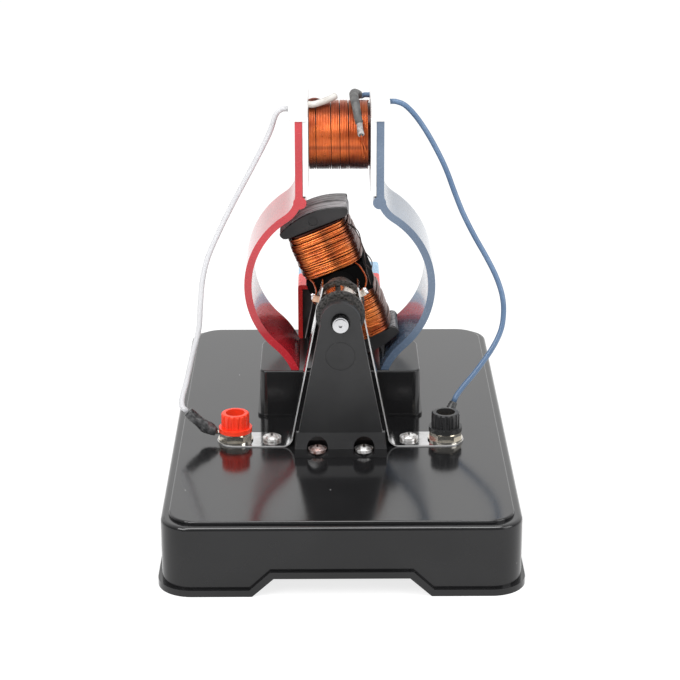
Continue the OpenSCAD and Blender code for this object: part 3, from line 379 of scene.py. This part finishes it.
def grey_sleeve():
    route = [over_coil(6, 58, SLEEVE_R + 0.6), over_coil(5, 68, SLEEVE_R + 0.5),
             over_coil(4.6, 80, SLEEVE_R + 0.3), over_coil(4.6, 95, SLEEVE_R),
             over_coil(4.8, 110, SLEEVE_R), over_coil(5.2, 125, SLEEVE_R),
             over_coil(5.6, 140, SLEEVE_R), over_coil(6.1, 150, SLEEVE_R)]
    points = flowing(route, 6)
    add_tube("grey_tube", points, lambda u: SLEEVE_R * (1.04 - 0.16 * u), "sleeve_grey", sides=24,
             squash=crumpled(0.07, 5.0, 0.4), replaces="grey_sleeve")
    inner = flowing([over_coil(6.05, 146, SLEEVE_R - 0.1), over_coil(6.25, 155, SLEEVE_R),
                     over_coil(6.45, 162, SLEEVE_R + 0.5), over_coil(6.6, 166.5, SLEEVE_R + 1.3)], 6)
    add_tube("grey_liner", inner, 1.0, "sleeve_pale", sides=20, squash=crumpled(0.09, 4.0, 1.6))
    end, along = inner[-1], inner[-1] - inner[-2]
    ring_end("grey_liner_end", end, along, 0.98, 0.55, 0.5, "sleeve_pale")
    # painted shade: a dark ring with a shallow floor stands for the shade inside the liner's open end
    ring_end("grey_liner_hole", Vector(end) + unit(along) * 0.02, along, 0.54, 0.3, 0.35, "hole_dark")
    for n, (dx, reach) in enumerate(((0.0, 206), (0.35, 197))):
        tail = flowing([over_coil(6.6 + dx * 0.4, 166, 2.4), over_coil(6.7 + dx * 0.6, 170, 2.2 - 0.5 * n),
                        over_coil(6.7 + dx, 176, 0.9 - 0.3 * n),
                        over_coil(6.9 + dx * 2, 183, 0.3), over_coil(7.2 + dx * 3, 195, 0.2),
                        over_coil(7.6 + dx * 3, reach, 0.12)], 6)
        add_tube("grey_tail_%d" % n, tail, WIRE_D / 2, "copper_wire", sides=8)


def white_sleeve():
    route = [over_coil(-COIL_HALF, 116, WHITE_SLEEVE_R), over_coil(-COIL_HALF + LEAD_D, 116, WHITE_SLEEVE_R),
             over_coil(-5.6, 111, WHITE_SLEEVE_R), over_coil(-3.2, 103, WHITE_SLEEVE_R + 0.1),
             over_coil(-1.2, 94, WHITE_SLEEVE_R + 0.4)]
    add_tube("white_tube", flowing(route, 8), lambda u: WHITE_SLEEVE_R * (1 - 0.1 * u), "sleeve_white",
             sides=20, squash=crumpled(0.08, 5.0, 2.2), replaces="white_sleeve")
    strands = ((109, 1.0, -4.2), (106, 1.3, -5.4), (103, 0.7, -3.6), (111, 1.9, -6.4))
    for n, (turn, lift, reach) in enumerate(strands):
        strand = flowing([over_coil(-COIL_HALF + 0.05, turn, lift), over_coil(-8.3, turn - 2, lift + 0.25),
                          over_coil(-6.9, turn - 5, lift * 0.9), over_coil(reach, turn - 9, 0.3)], 5)
        add_tube("white_strand_%d" % n, strand, 0.2, "copper_dull", sides=8)


def white_boot_radius(share):
    """Narrow beside the turning knob, full in the middle, slimmer at the lead."""
    full = 0.4
    return (1.15 + 0.95 * min(share / full, 1.0) - 1.0 * max(share - full, 0.0)
            + 0.1 * math.sin(9 * share))


def boots():
    """Heat-shrink over the joints at the terminals, flattened and wrinkled."""
    side = WHITE_BOOT_DIR.cross(Vector((0, 0, 1)))
    points = [WHITE_BOOT_START + WHITE_BOOT_DIR * (WHITE_BOOT_L * k / 24 - 1.2)
              + Vector((0, 0, -0.7 * math.sin(math.pi * k / 24))) + side * 0.25 * math.sin(5.0 * k / 24)
              for k in range(27)]
    add_tube("white_shrink", points, white_boot_radius, "shrink_grey", sides=28,
             squash=crumpled(0.16, 7.0, 0.9), replaces="white_boot")
    points = [BLUE_BOOT_START + BLUE_BOOT_DIR * BLUE_BOOT_L * k / 20 for k in range(21)]
    add_tube("blue_shrink", points, lambda u: 1.5 - 0.3 * u, "shrink_grey", sides=24,
             squash=crumpled(0.1, 5.0, 0.2), replaces="blue_boot")


def solder(name, at, radius, stretch, body="rotor", look="solder"):
    """A lumpy drop, of solder unless another look is given."""
    rows, sides = 9, 14
    verts = [Vector(at) + Vector((0, 0, -radius))]
    for i in range(1, rows):
        t = math.pi * i / rows
        for k in range(sides):
            a = 2 * math.pi * k / sides
            r = radius * (1 + 0.16 * math.sin(3 * a + 2 * t + radius * 9) + 0.1 * math.sin(5 * t + a))
            verts.append(Vector(at) + Vector((r * math.sin(t) * math.cos(a) * stretch[0],
                                              r * math.sin(t) * math.sin(a) * stretch[1],
                                              -r * math.cos(t) * stretch[2])))
    verts.append(Vector(at) + Vector((0, 0, radius)))
    top = len(verts) - 1
    faces = []
    for k in range(sides):
        j = (k + 1) % sides
        faces.append((0, 1 + j, 1 + k))
        faces.append((top, top - sides + k, top - sides + j))
        for i in range(rows - 2):
            a, b = 1 + i * sides, 1 + (i + 1) * sides
            faces.append((a + k, a + j, b + j, b + k))
    add_mesh(name, verts, faces, look, body)


def around_shaft(radius, angle, y):
    """A point beside the shaft, its angle from +X towards +Z."""
    a = math.radians(angle)
    return Vector((radius * math.cos(a), y, AXIS_Z + radius * math.sin(a)))


def outward(radius, angle, y=0.0):
    """A step away from the shaft, as a vector."""
    return around_shaft(radius, angle, y) - Vector((0, 0, AXIS_Z))


def commutator_joints():
    """The coils' ends, soldered to the tab of each segment, behind the brushes."""
    for n, (angle, flip) in enumerate(((27.0, False), (167.0, True))):
        tab = around_shaft(EAR_R - 0.3, angle, DRUM_BACK + 0.65)
        solder("joint_%d" % n, tab, 1.15 - 0.2 * n, (0.9, 0.9, 1.0))
        solder("joint_drop_%d" % n, tab + outward(0.9, angle - 50, -0.2), 0.55, (1, 1, 0.9))
        inner = on_rotor((TURN_HALF_X - 2.0, ROTOR_Y - TURN_HALF_Y + 0.6, COIL_START + 0.4), flip)
        other = on_rotor((TURN_HALF_X - 1.2, ROTOR_Y - TURN_HALF_Y + 0.9, -COIL_START - 0.6), flip)
        for m, (end, bow) in enumerate(((inner, 2.6), (other, -1.8))):
            mid1 = tab + (end - tab) * 0.35 + outward(bow * 0.7, angle)
            mid2 = tab + (end - tab) * 0.75 + outward(bow * 0.5, angle + 20)
            add_tube("joint_wire_%d_%d" % (n, m), flowing([tab, mid1, mid2, end], 8),
                     WIRE_D / 2, "copper_wire", sides=8, body="rotor")


def stray_ends():
    """Loose dark ends of the armature's wire, looped at its right flank."""
    paths = (((9.6, 4.0, 17.5), (10.9, 6.0, 14.0), (11.4, 3.0, 9.0), (10.6, 0.5, 5.0), (9.4, -0.5, 1.0)),
             ((9.9, 8.0, 16.0), (11.3, 9.0, 12.0), (11.0, 5.0, 7.5), (12.2, 3.0, 3.6), (11.2, 1.0, 1.5),
              (10.0, 2.0, 3.0), (9.2, 0.0, -3.0)))
    for n, path in enumerate(paths):
        add_tube("stray_end_%d" % n, [on_rotor(p) for p in flowing(path, 8)], 0.17, "wire_dark",
                 sides=8, body="rotor")


def dark_lumps():
    """Small dark lumps between strip and bobbin, above each bead."""
    crumbs = ((-STRIP_INNER + 0.35, -0.7, 2.7, 0.55), (-STRIP_INNER + 0.1, -0.2, 2.0, 0.4),
              (STRIP_INNER - 0.2, -0.6, 3.4, 0.45), (STRIP_INNER - 0.35, -0.4, 2.4, 0.4),
              (STRIP_INNER - 0.1, -0.8, 1.8, 0.35))
    for n, (x, y, z, r) in enumerate(crumbs):
        solder("glue_%d" % n, (x, y, BEAD_Z + z), r, (0.8, 0.9, 1.3), "frame", "dark_lump")


dark_lumps()
grey_sleeve()
white_sleeve()
boots()
commutator_joints()
stray_ends()

# --------------------------------------------------------------- materials


def srgb(r, g, b):
    def lin(v):
        v /= 255.0
        return v / 12.92 if v <= 0.04045 else ((v + 0.055) / 1.055) ** 2.4
    return (lin(r), lin(g), lin(b), 1.0)


def feed(nt, socket, value):
    """Links another node's output to a socket, or sets a plain value on it."""
    if hasattr(value, "links"):
        nt.links.new(value, socket)
    else:
        socket.default_value = value


def mix_colors(nt, fac, a, b):
    node = nt.nodes.new("ShaderNodeMix")
    node.data_type = "RGBA"
    for index, value in ((6, a), (7, b), (0, fac)):
        feed(nt, node.inputs[index], value)
    return node.outputs[2]


def math_node(nt, operation, a, b):
    node = nt.nodes.new("ShaderNodeMath")
    node.operation = operation
    feed(nt, node.inputs[0], a)
    feed(nt, node.inputs[1], b)
    return node.outputs[0]


def coords(nt):
    return nt.nodes.new("ShaderNodeTexCoord").outputs["Object"]


def noise(nt, vector, scale, detail, rough):
    node = nt.nodes.new("ShaderNodeTexNoise")
    node.inputs["Scale"].default_value = scale
    node.inputs["Detail"].default_value = detail
    node.inputs["Roughness"].default_value = rough
    nt.links.new(vector, node.inputs["Vector"])
    return node.outputs["Fac"]


def ramp(nt, fac, low, high, a=0.0, b=1.0):
    node = nt.nodes.new("ShaderNodeMapRange")
    node.inputs["From Min"].default_value = low
    node.inputs["From Max"].default_value = high
    node.inputs["To Min"].default_value = a
    node.inputs["To Max"].default_value = b
    nt.links.new(fac, node.inputs["Value"])
    return node.outputs["Result"]


def bump(nt, height, distance):
    node = nt.nodes.new("ShaderNodeBump")
    node.inputs["Strength"].default_value = 1.0
    node.inputs["Distance"].default_value = distance
    nt.links.new(height, node.inputs["Height"])
    return node.outputs["Normal"]


def surface(name, color, color2, rough, metallic=0.0, coat=0.0, grain=900.0,
            relief=0.00001, patch=120.0, ior=1.5):
    """A material with fine grain, slow colour patches and uneven gloss.

    grain and patch are noise scales a metre, relief is the grain's height in metres."""
    mat = bpy.data.materials.new(name)
    mat.use_nodes = True
    nt = mat.node_tree
    bsdf = nt.nodes["Principled BSDF"]
    fine = noise(nt, coords(nt), grain, 4.0, 0.6)
    slow = noise(nt, coords(nt), patch, 3.0, 0.5)
    fac = ramp(nt, slow, 0.35, 0.68)
    nt.links.new(mix_colors(nt, fac, color, color2), bsdf.inputs["Base Color"])
    nt.links.new(ramp(nt, fine, 0.3, 0.7, rough[0], rough[1]), bsdf.inputs["Roughness"])
    nt.links.new(bump(nt, fine, relief), bsdf.inputs["Normal"])
    bsdf.inputs["Metallic"].default_value = metallic
    bsdf.inputs["IOR"].default_value = ior
    bsdf.inputs["Coat Weight"].default_value = coat
    bsdf.inputs["Coat Roughness"].default_value = 0.08
    return mat


def copper_wire(name, light, dark):
    """Enamelled copper: warm metal under a clear varnish, darker in patches."""
    return surface(name, light, dark, rough=(0.26, 0.34), metallic=0.75, coat=0.25,
                   grain=300.0, relief=0.0, patch=170.0)


def add_dust(mat, spread=330.0, size=0.07, tone=0.6):
    """Sparse pale specks on top of a material's colour."""
    nt = mat.node_tree
    bsdf = nt.nodes["Principled BSDF"]
    below = bsdf.inputs["Base Color"].links[0].from_socket
    cells = nt.nodes.new("ShaderNodeTexVoronoi")
    cells.inputs["Scale"].default_value = spread
    nt.links.new(coords(nt), cells.inputs["Vector"])
    near = ramp(nt, cells.outputs["Distance"], size, size * 0.5)
    chosen = ramp(nt, cells.outputs["Color"], 0.86, 0.9)
    both = math_node(nt, "MULTIPLY", near, chosen)
    nt.links.new(mix_colors(nt, both, below, (tone, tone, tone, 1.0)), bsdf.inputs["Base Color"])


MATERIALS = {
    "base_black": surface("base_black", srgb(28, 28, 29), srgb(22, 22, 23), (0.1, 0.17),
                          grain=1600.0, relief=0.0000025, patch=40.0),
    "seat_black": surface("seat_black", srgb(31, 31, 32), srgb(25, 25, 26), (0.14, 0.22),
                          grain=1600.0, relief=0.000003, patch=60.0),
    "bracket_dark": surface("bracket_dark", srgb(40, 40, 41), srgb(33, 33, 34), (0.3, 0.42),
                            grain=1800.0, relief=0.000008, patch=90.0),
    "former_black": surface("former_black", srgb(50, 49, 50), srgb(40, 39, 40), (0.34, 0.46),
                            grain=1500.0, relief=0.000008, patch=120.0),
    # commutator_black: its pale mottle, the second colour, is painted highlight, specks of sheen on the
    # glossy black flange
    "commutator_black": surface("commutator_black", srgb(16, 16, 16), srgb(88, 86, 84), (0.3, 0.6),
                                grain=1600.0, relief=0.00005, patch=1500.0),
    "pole_red": surface("pole_red", srgb(196, 38, 50), srgb(176, 28, 40), (0.2, 0.3), coat=0.8,
                        grain=1100.0, relief=0.0000015, patch=70.0),
    "pole_blue": surface("pole_blue", srgb(98, 116, 138), srgb(82, 100, 124), (0.2, 0.3), coat=0.8,
                         grain=1100.0, relief=0.0000015, patch=70.0),
    "bobbin_white": surface("bobbin_white", srgb(238, 238, 236), srgb(230, 230, 229), (0.3, 0.42),
                            grain=1400.0, relief=0.000005, patch=80.0),
    "sleeve_white": surface("sleeve_white", srgb(214, 212, 208), srgb(184, 178, 170), (0.3, 0.45),
                            grain=900.0, relief=0.00001, patch=300.0),
    "sleeve_grey": surface("sleeve_grey", srgb(104, 104, 103), srgb(70, 70, 70), (0.45, 0.65),
                           grain=700.0, relief=0.00004, patch=500.0),
    "sleeve_pale": surface("sleeve_pale", srgb(176, 174, 172), srgb(120, 116, 116), (0.45, 0.65),
                           grain=800.0, relief=0.00004, patch=900.0),
    "dark_lump": surface("dark_lump", srgb(84, 66, 62), srgb(48, 42, 42), (0.4, 0.6), relief=0.00002),
    # hole_dark: painted shade colour for the inside of the liner's open end
    "hole_dark": surface("hole_dark", srgb(40, 38, 36), srgb(28, 26, 26), (0.5, 0.6)),
    "solder": surface("solder", srgb(226, 226, 230), srgb(204, 204, 208), (0.08, 0.2),
                      metallic=1.0, grain=1000.0, relief=0.00001, patch=500.0),
    "shrink_grey": surface("shrink_grey", srgb(38, 39, 40), srgb(84, 84, 85), (0.2, 0.45),
                           grain=500.0, relief=0.00012, patch=800.0),
    "wire_white": surface("wire_white", srgb(206, 206, 208), srgb(200, 200, 203), (0.45, 0.55),
                          grain=300.0, relief=0.0, patch=90.0, ior=1.2),
    "wire_blue": surface("wire_blue", srgb(98, 122, 152), srgb(84, 108, 138), (0.25, 0.35),
                         grain=800.0, relief=0.000005, patch=90.0),
    "knob_red": surface("knob_red", srgb(255, 72, 42), srgb(244, 58, 32), (0.25, 0.36),
                        grain=1100.0, relief=0.000006, patch=200.0),
    "knob_black": surface("knob_black", srgb(46, 46, 47), srgb(36, 36, 37), (0.25, 0.36),
                          grain=1100.0, relief=0.000006, patch=200.0),
    "magnet_red": surface("magnet_red", srgb(240, 64, 62), srgb(228, 54, 54), (0.22, 0.3),
                          grain=900.0, relief=0.000002, patch=80.0),
    "magnet_blue": surface("magnet_blue", srgb(160, 198, 226), srgb(146, 186, 216), (0.22, 0.3),
                           grain=900.0, relief=0.000002, patch=80.0),
    "magnet_black": surface("magnet_black", srgb(84, 84, 84), srgb(70, 70, 70), (0.4, 0.55),
                            grain=1300.0, relief=0.00001, patch=200.0),
    "steel_screw": surface("steel_screw", srgb(254, 254, 253), srgb(112, 102, 96), (0.14, 0.3),
                           metallic=0.35, grain=900.0, relief=0.000012, patch=900.0),
    "shaft_steel": surface("shaft_steel", srgb(208, 208, 210), srgb(186, 186, 188), (0.16, 0.3),
                           metallic=1.0, grain=1400.0, relief=0.000004, patch=200.0),
    "spacer_brass": surface("spacer_brass", srgb(206, 172, 106), srgb(184, 148, 88), (0.2, 0.34),
                            metallic=1.0, grain=1200.0, relief=0.000004, patch=200.0),
    "post_brass": surface("post_brass", srgb(222, 204, 160), srgb(198, 176, 132), (0.14, 0.26),
                          metallic=0.95, grain=400.0, relief=0.0, patch=150.0),
    "insert_brass": surface("insert_brass", srgb(214, 186, 120), srgb(188, 156, 96), (0.16, 0.3),
                            metallic=1.0, grain=1200.0, relief=0.000004, patch=300.0),
    "washer_steel": surface("washer_steel", srgb(232, 228, 218), srgb(214, 206, 192), (0.1, 0.2),
                            metallic=0.95, grain=400.0, relief=0.0, patch=150.0),
    "brush_steel": surface("brush_steel", srgb(222, 222, 223), srgb(204, 203, 202), (0.06, 0.18),
                           metallic=1.0, grain=1100.0, relief=0.000003, patch=200.0),
    "armature_iron": surface("armature_iron", srgb(206, 204, 206), srgb(172, 170, 172), (0.4, 0.55),
                             metallic=0.1, grain=700.0, relief=0.00001, patch=200.0),
    "core_iron": surface("core_iron", srgb(176, 176, 178), srgb(150, 150, 152), (0.3, 0.45),
                         metallic=0.9, grain=900.0, relief=0.00001, patch=200.0),
    "segment_copper": surface("segment_copper", srgb(214, 178, 154), srgb(186, 142, 118), (0.12, 0.24),
                              metallic=1.0, grain=1000.0, relief=0.000003, patch=180.0),
    "segment_bright": surface("segment_bright", srgb(230, 224, 216), srgb(212, 196, 180), (0.1, 0.2),
                              metallic=1.0, grain=1000.0, relief=0.000003, patch=180.0),
    "copper_winding": copper_wire("copper_winding", srgb(70, 28, 16), srgb(44, 18, 12)),
    "copper_wire": copper_wire("copper_wire", srgb(226, 118, 58), srgb(186, 84, 42)),
    "wire_dark": copper_wire("wire_dark", srgb(70, 52, 48), srgb(46, 36, 34)),
    "copper_dull": copper_wire("copper_dull", srgb(150, 92, 78), srgb(116, 62, 52)),
    "field_copper": copper_wire("field_copper", srgb(230, 122, 60), srgb(182, 80, 42)),
    "rotor_copper": copper_wire("rotor_copper", srgb(242, 140, 68), srgb(196, 94, 44)),
}


TOP_IOR = 1.78
WALL_IOR = 1.42


def object_axis(nt, axis, through):
    """Millimetres along an axis from a point, in the object's own space."""
    tex = nt.nodes.new("ShaderNodeTexCoord")
    dot = nt.nodes.new("ShaderNodeVectorMath")
    dot.operation = "DOT_PRODUCT"
    nt.links.new(tex.outputs["Object"], dot.inputs[0])
    dot.inputs[1].default_value = tuple(c / MM for c in axis)
    return math_node(nt, "SUBTRACT", dot.outputs["Value"], Vector(axis).dot(Vector(through)))


def tint(mat, fac, color):
    """Mixes a colour over the material's own, by a share made from its position."""
    nt = mat.node_tree
    socket = nt.nodes["Principled BSDF"].inputs["Base Color"]
    nt.links.new(mix_colors(nt, fac, socket.links[0].from_socket, color), socket)


def paint_shade_in_hollows(mat, reach_mm, color):
    """Painted shade in the small hollows of a surface, darkened by ambient occlusion."""
    nt = mat.node_tree
    hollow = nt.nodes.new("ShaderNodeAmbientOcclusion")
    hollow.inputs["Distance"].default_value = reach_mm * MM
    hollow.samples = 8
    tint(mat, ramp(nt, hollow.outputs["AO"], 0.75, 0.3, 0.0, 0.9), color)


def shade_coils():
    """Painted shade and painted reflection on the coils, set by position, and a hub painted near-black as
    shade.
    """
    mat = MATERIALS["field_copper"]
    nt = mat.node_tree
    drop = object_axis(nt, (0, 0, 1), (0, 0, COIL_Z))
    # painted shade: the field coil's underside, below its middle, is painted dark purple-brown
    tint(mat, ramp(nt, drop, -3.7, -7.6, 0.0, 0.94), srgb(54, 26, 28))
    # painted shade: the top of the field coil is painted a darker red-brown
    tint(mat, ramp(nt, drop, 6.4, 8.8, 0.0, 0.5), srgb(104, 46, 36))
    # painted reflection: a dark band painted across the field coil, 1.6 mm below its middle
    band = math_node(nt, "ABSOLUTE", math_node(nt, "ADD", drop, 1.6), 0.0)
    tint(mat, ramp(nt, band, 0.25, 0.9, 0.5, 0.0), srgb(120, 46, 28))
    mat = MATERIALS["rotor_copper"]
    nt = mat.node_tree
    c, s = math.cos(ROTOR_LEAN), math.sin(ROTOR_LEAN)
    across = object_axis(nt, (c, 0, -s), (0, 0, AXIS_Z))
    flank = math_node(nt, "ABSOLUTE", across, 0.0)
    # painted shade: the armature coils' flanks, 6.2 to 9 mm either side of the middle across the pole, are
    # painted dark purple-brown
    tint(mat, ramp(nt, flank, 6.2, 9.0, 0.0, 0.9), srgb(74, 36, 32))
    # painted reflection: dull is a dark band painted along the armature coils, 1.8 mm off their middle
    dull = math_node(nt, "ABSOLUTE", math_node(nt, "SUBTRACT", across, 1.8), 0.0)
    tint(mat, ramp(nt, dull, 0.4, 2.2, 0.6, 0.0), srgb(118, 52, 26))
    mat = MATERIALS["former_black"]
    nt = mat.node_tree
    out = math_node(nt, "ABSOLUTE", object_axis(nt, (s, 0, c), (0, 0, AXIS_Z)), 0.0)
    # painted shade: the former's hub, within 12 to 14 mm of the shaft, is painted near-black, and its IOR
    # falls to 1.01 so it mirrors almost nothing
    near = ramp(nt, out, 14.0, 12.0, 0.0, 1.0)
    tint(mat, near, srgb(14, 14, 14))
    nt.links.new(ramp(nt, near, 0.0, 1.0, 1.42, 1.01), nt.nodes["Principled BSDF"].inputs["IOR"])


def facing(nt, axis):
    """How squarely a face looks along a world axis, either way."""
    parts = nt.nodes.new("ShaderNodeSeparateXYZ")
    nt.links.new(nt.nodes.new("ShaderNodeNewGeometry").outputs["True Normal"], parts.inputs[0])
    return math_node(nt, "ABSOLUTE", parts.outputs[axis], 0.0)


def polish_base():
    """The top is polished and all four walls are plainer."""
    nt = MATERIALS["base_black"].node_tree
    gloss = ramp(nt, facing(nt, "Z"), 0.5, 0.8, WALL_IOR, TOP_IOR)
    nt.links.new(gloss, nt.nodes["Principled BSDF"].inputs["IOR"])


def scuff_edges():
    """The cut edges of the brush strips, front and back, are dull and scatter light."""
    nt = MATERIALS["brush_steel"].node_tree
    shine = ramp(nt, facing(nt, "Y"), 0.6, 0.9, 1.0, 0.25)
    nt.links.new(shine, nt.nodes["Principled BSDF"].inputs["Metallic"])


def show_laminations():
    """Dark seams between the iron sheets of the rotor stack."""
    mat = MATERIALS["armature_iron"]
    nt = mat.node_tree
    along = object_axis(nt, (0, 1, 0), (0, STACK_FRONT, 0))
    for seam in SEAMS:
        near = math_node(nt, "ABSOLUTE", math_node(nt, "SUBTRACT", along, seam), 0.0)
        tint(mat, ramp(nt, near, 0.12, 0.3, 0.85, 0.0), srgb(44, 40, 40))


def copper_left_screws():
    """The left screw of each bracket has a copper tone."""
    mat = MATERIALS["steel_screw"]
    nt = mat.node_tree
    off = math_node(nt, "ABSOLUTE", object_axis(nt, (1, 0, 0), (-LEG_SCREW_X, 0, 0)), 0.0)
    tint(mat, ramp(nt, off, 3.0, 3.6, 0.4, 0.0), srgb(176, 110, 96))


shade_coils()
polish_base()
scuff_edges()
show_laminations()
# painted shade in the screws' cross recesses and in the hollows of the sleeve liner
paint_shade_in_hollows(MATERIALS["steel_screw"], 0.7, srgb(38, 34, 32))
paint_shade_in_hollows(MATERIALS["sleeve_pale"], 0.8, srgb(30, 28, 27))
copper_left_screws()
for dusty in ("bracket_dark", "seat_black", "base_black"):
    add_dust(MATERIALS[dusty])


def paint(obj, slot):
    obj.data.materials.clear()
    obj.data.materials.append(MATERIALS[slot])


for row in frame["record"]["subparts"]:
    paint(NODES[row["node"]], row["material_slot"])
for piece, slot in DRESSED:
    paint(piece, slot)


def round_edges(node, width_mm, angle=38.0):
    """Small bevels that catch the light; the mesh itself stays as packed."""
    obj = NODES[node]
    weld = obj.modifiers.new("weld", "WELD")
    weld.merge_threshold = 0.000002
    bevel = obj.modifiers.new("bevel", "BEVEL")
    bevel.width = width_mm * MM
    bevel.segments = 2
    bevel.limit_method = "ANGLE"
    bevel.angle_limit = math.radians(angle)
    bevel.harden_normals = True


for node, width in (("pole_seat", 0.4), ("front_bracket", 0.35), ("rear_bracket", 0.35),
                    ("front_former", 0.2), ("rear_former", 0.2)):
    round_edges(node, width)

# ------------------------------------------------------------ light and set

PALE = (0.86, 0.86, 0.86, 1.0)
FLOOR_HALF = 3.0
ROOM_BACK = 1.0            # what polished parts mirror behind the motor
ROOM_FRONT = 0.22          # and on the camera's side
ROOM_DIFFUSE = 0.62


def ray(nt, *names):
    """1 for rays of the named kinds, 0 for all others."""
    path = nt.nodes.new("ShaderNodeLightPath")
    total = 0.0
    for name in names:
        total = math_node(nt, "MAXIMUM", total, path.outputs[name])
    return total


def add_world():
    """White behind the motor for the camera; a darker room in front for reflections."""
    world = bpy.data.worlds.new("studio")
    bpy.context.scene.world = world
    world.use_nodes = True
    nt = world.node_tree
    background = nt.nodes["Background"]
    background.inputs["Color"].default_value = (1, 1, 1, 1)
    way = nt.nodes.new("ShaderNodeSeparateXYZ")
    tex = nt.nodes.new("ShaderNodeTexCoord")
    nt.links.new(tex.outputs["Generated"], way.inputs[0])
    mirrored = ramp(nt, way.outputs["Y"], -0.5, 0.75, ROOM_FRONT, ROOM_BACK)
    diffuse = math_node(nt, "MULTIPLY", ray(nt, "Is Diffuse Ray", "Is Shadow Ray"), ROOM_DIFFUSE)
    glossy = math_node(nt, "MULTIPLY", ray(nt, "Is Glossy Ray"), mirrored)
    seen = ray(nt, "Is Camera Ray", "Is Transmission Ray")
    strength = math_node(nt, "MAXIMUM", math_node(nt, "MAXIMUM", diffuse, glossy), seen)
    nt.links.new(strength, background.inputs["Strength"])


def add_floor():
    mesh = bpy.data.meshes.new("floor")
    half = FLOOR_HALF
    mesh.from_pydata([(-half, -half, 0), (half, -half, 0), (half, half, 0), (-half, half, 0)],
                     [], [(0, 1, 2, 3)])
    floor = link(bpy.data.objects.new("floor", mesh))
    mat = bpy.data.materials.new("floor_white")
    mat.use_nodes = True
    nt = mat.node_tree
    nt.nodes.clear()
    out = nt.nodes.new("ShaderNodeOutputMaterial")
    diffuse = nt.nodes.new("ShaderNodeBsdfDiffuse")
    diffuse.inputs["Color"].default_value = PALE
    pale = nt.nodes.new("ShaderNodeBsdfDiffuse")
    pale.inputs["Color"].default_value = (0.3, 0.3, 0.3, 1.0)
    glow = nt.nodes.new("ShaderNodeEmission")
    glow.inputs["Strength"].default_value = 0.78
    both = nt.nodes.new("ShaderNodeAddShader")
    nt.links.new(pale.outputs[0], both.inputs[0])
    nt.links.new(glow.outputs[0], both.inputs[1])
    mix = nt.nodes.new("ShaderNodeMixShader")
    nt.links.new(ray(nt, "Is Camera Ray", "Is Glossy Ray", "Is Transmission Ray"), mix.inputs[0])
    nt.links.new(diffuse.outputs[0], mix.inputs[1])
    nt.links.new(both.outputs[0], mix.inputs[2])
    nt.links.new(mix.outputs[0], out.inputs["Surface"])
    mesh.materials.append(mat)


def add_lamp(name, at, aim, size, power):
    data = bpy.data.lights.new(name, "AREA")
    data.shape = "RECTANGLE"
    data.size, data.size_y = size
    data.energy = power
    lamp = link(bpy.data.objects.new(name, data))
    lamp.location = at
    lamp.rotation_euler = (Vector(aim) - Vector(at)).to_track_quat("-Z", "Y").to_euler()


add_world()
add_floor()
AIM = (0.0, 0.0, 0.06)
add_lamp("key", (-0.55, -0.65, 0.75), AIM, (0.5, 0.5), 5.5)
add_lamp("fill", (0.75, -0.45, 0.45), AIM, (0.5, 0.6), 3.0)
add_lamp("top", (0.05, -0.26, 0.95), AIM, (0.7, 0.45), 4.0)

bpy.context.scene.view_settings.view_transform = "Standard"
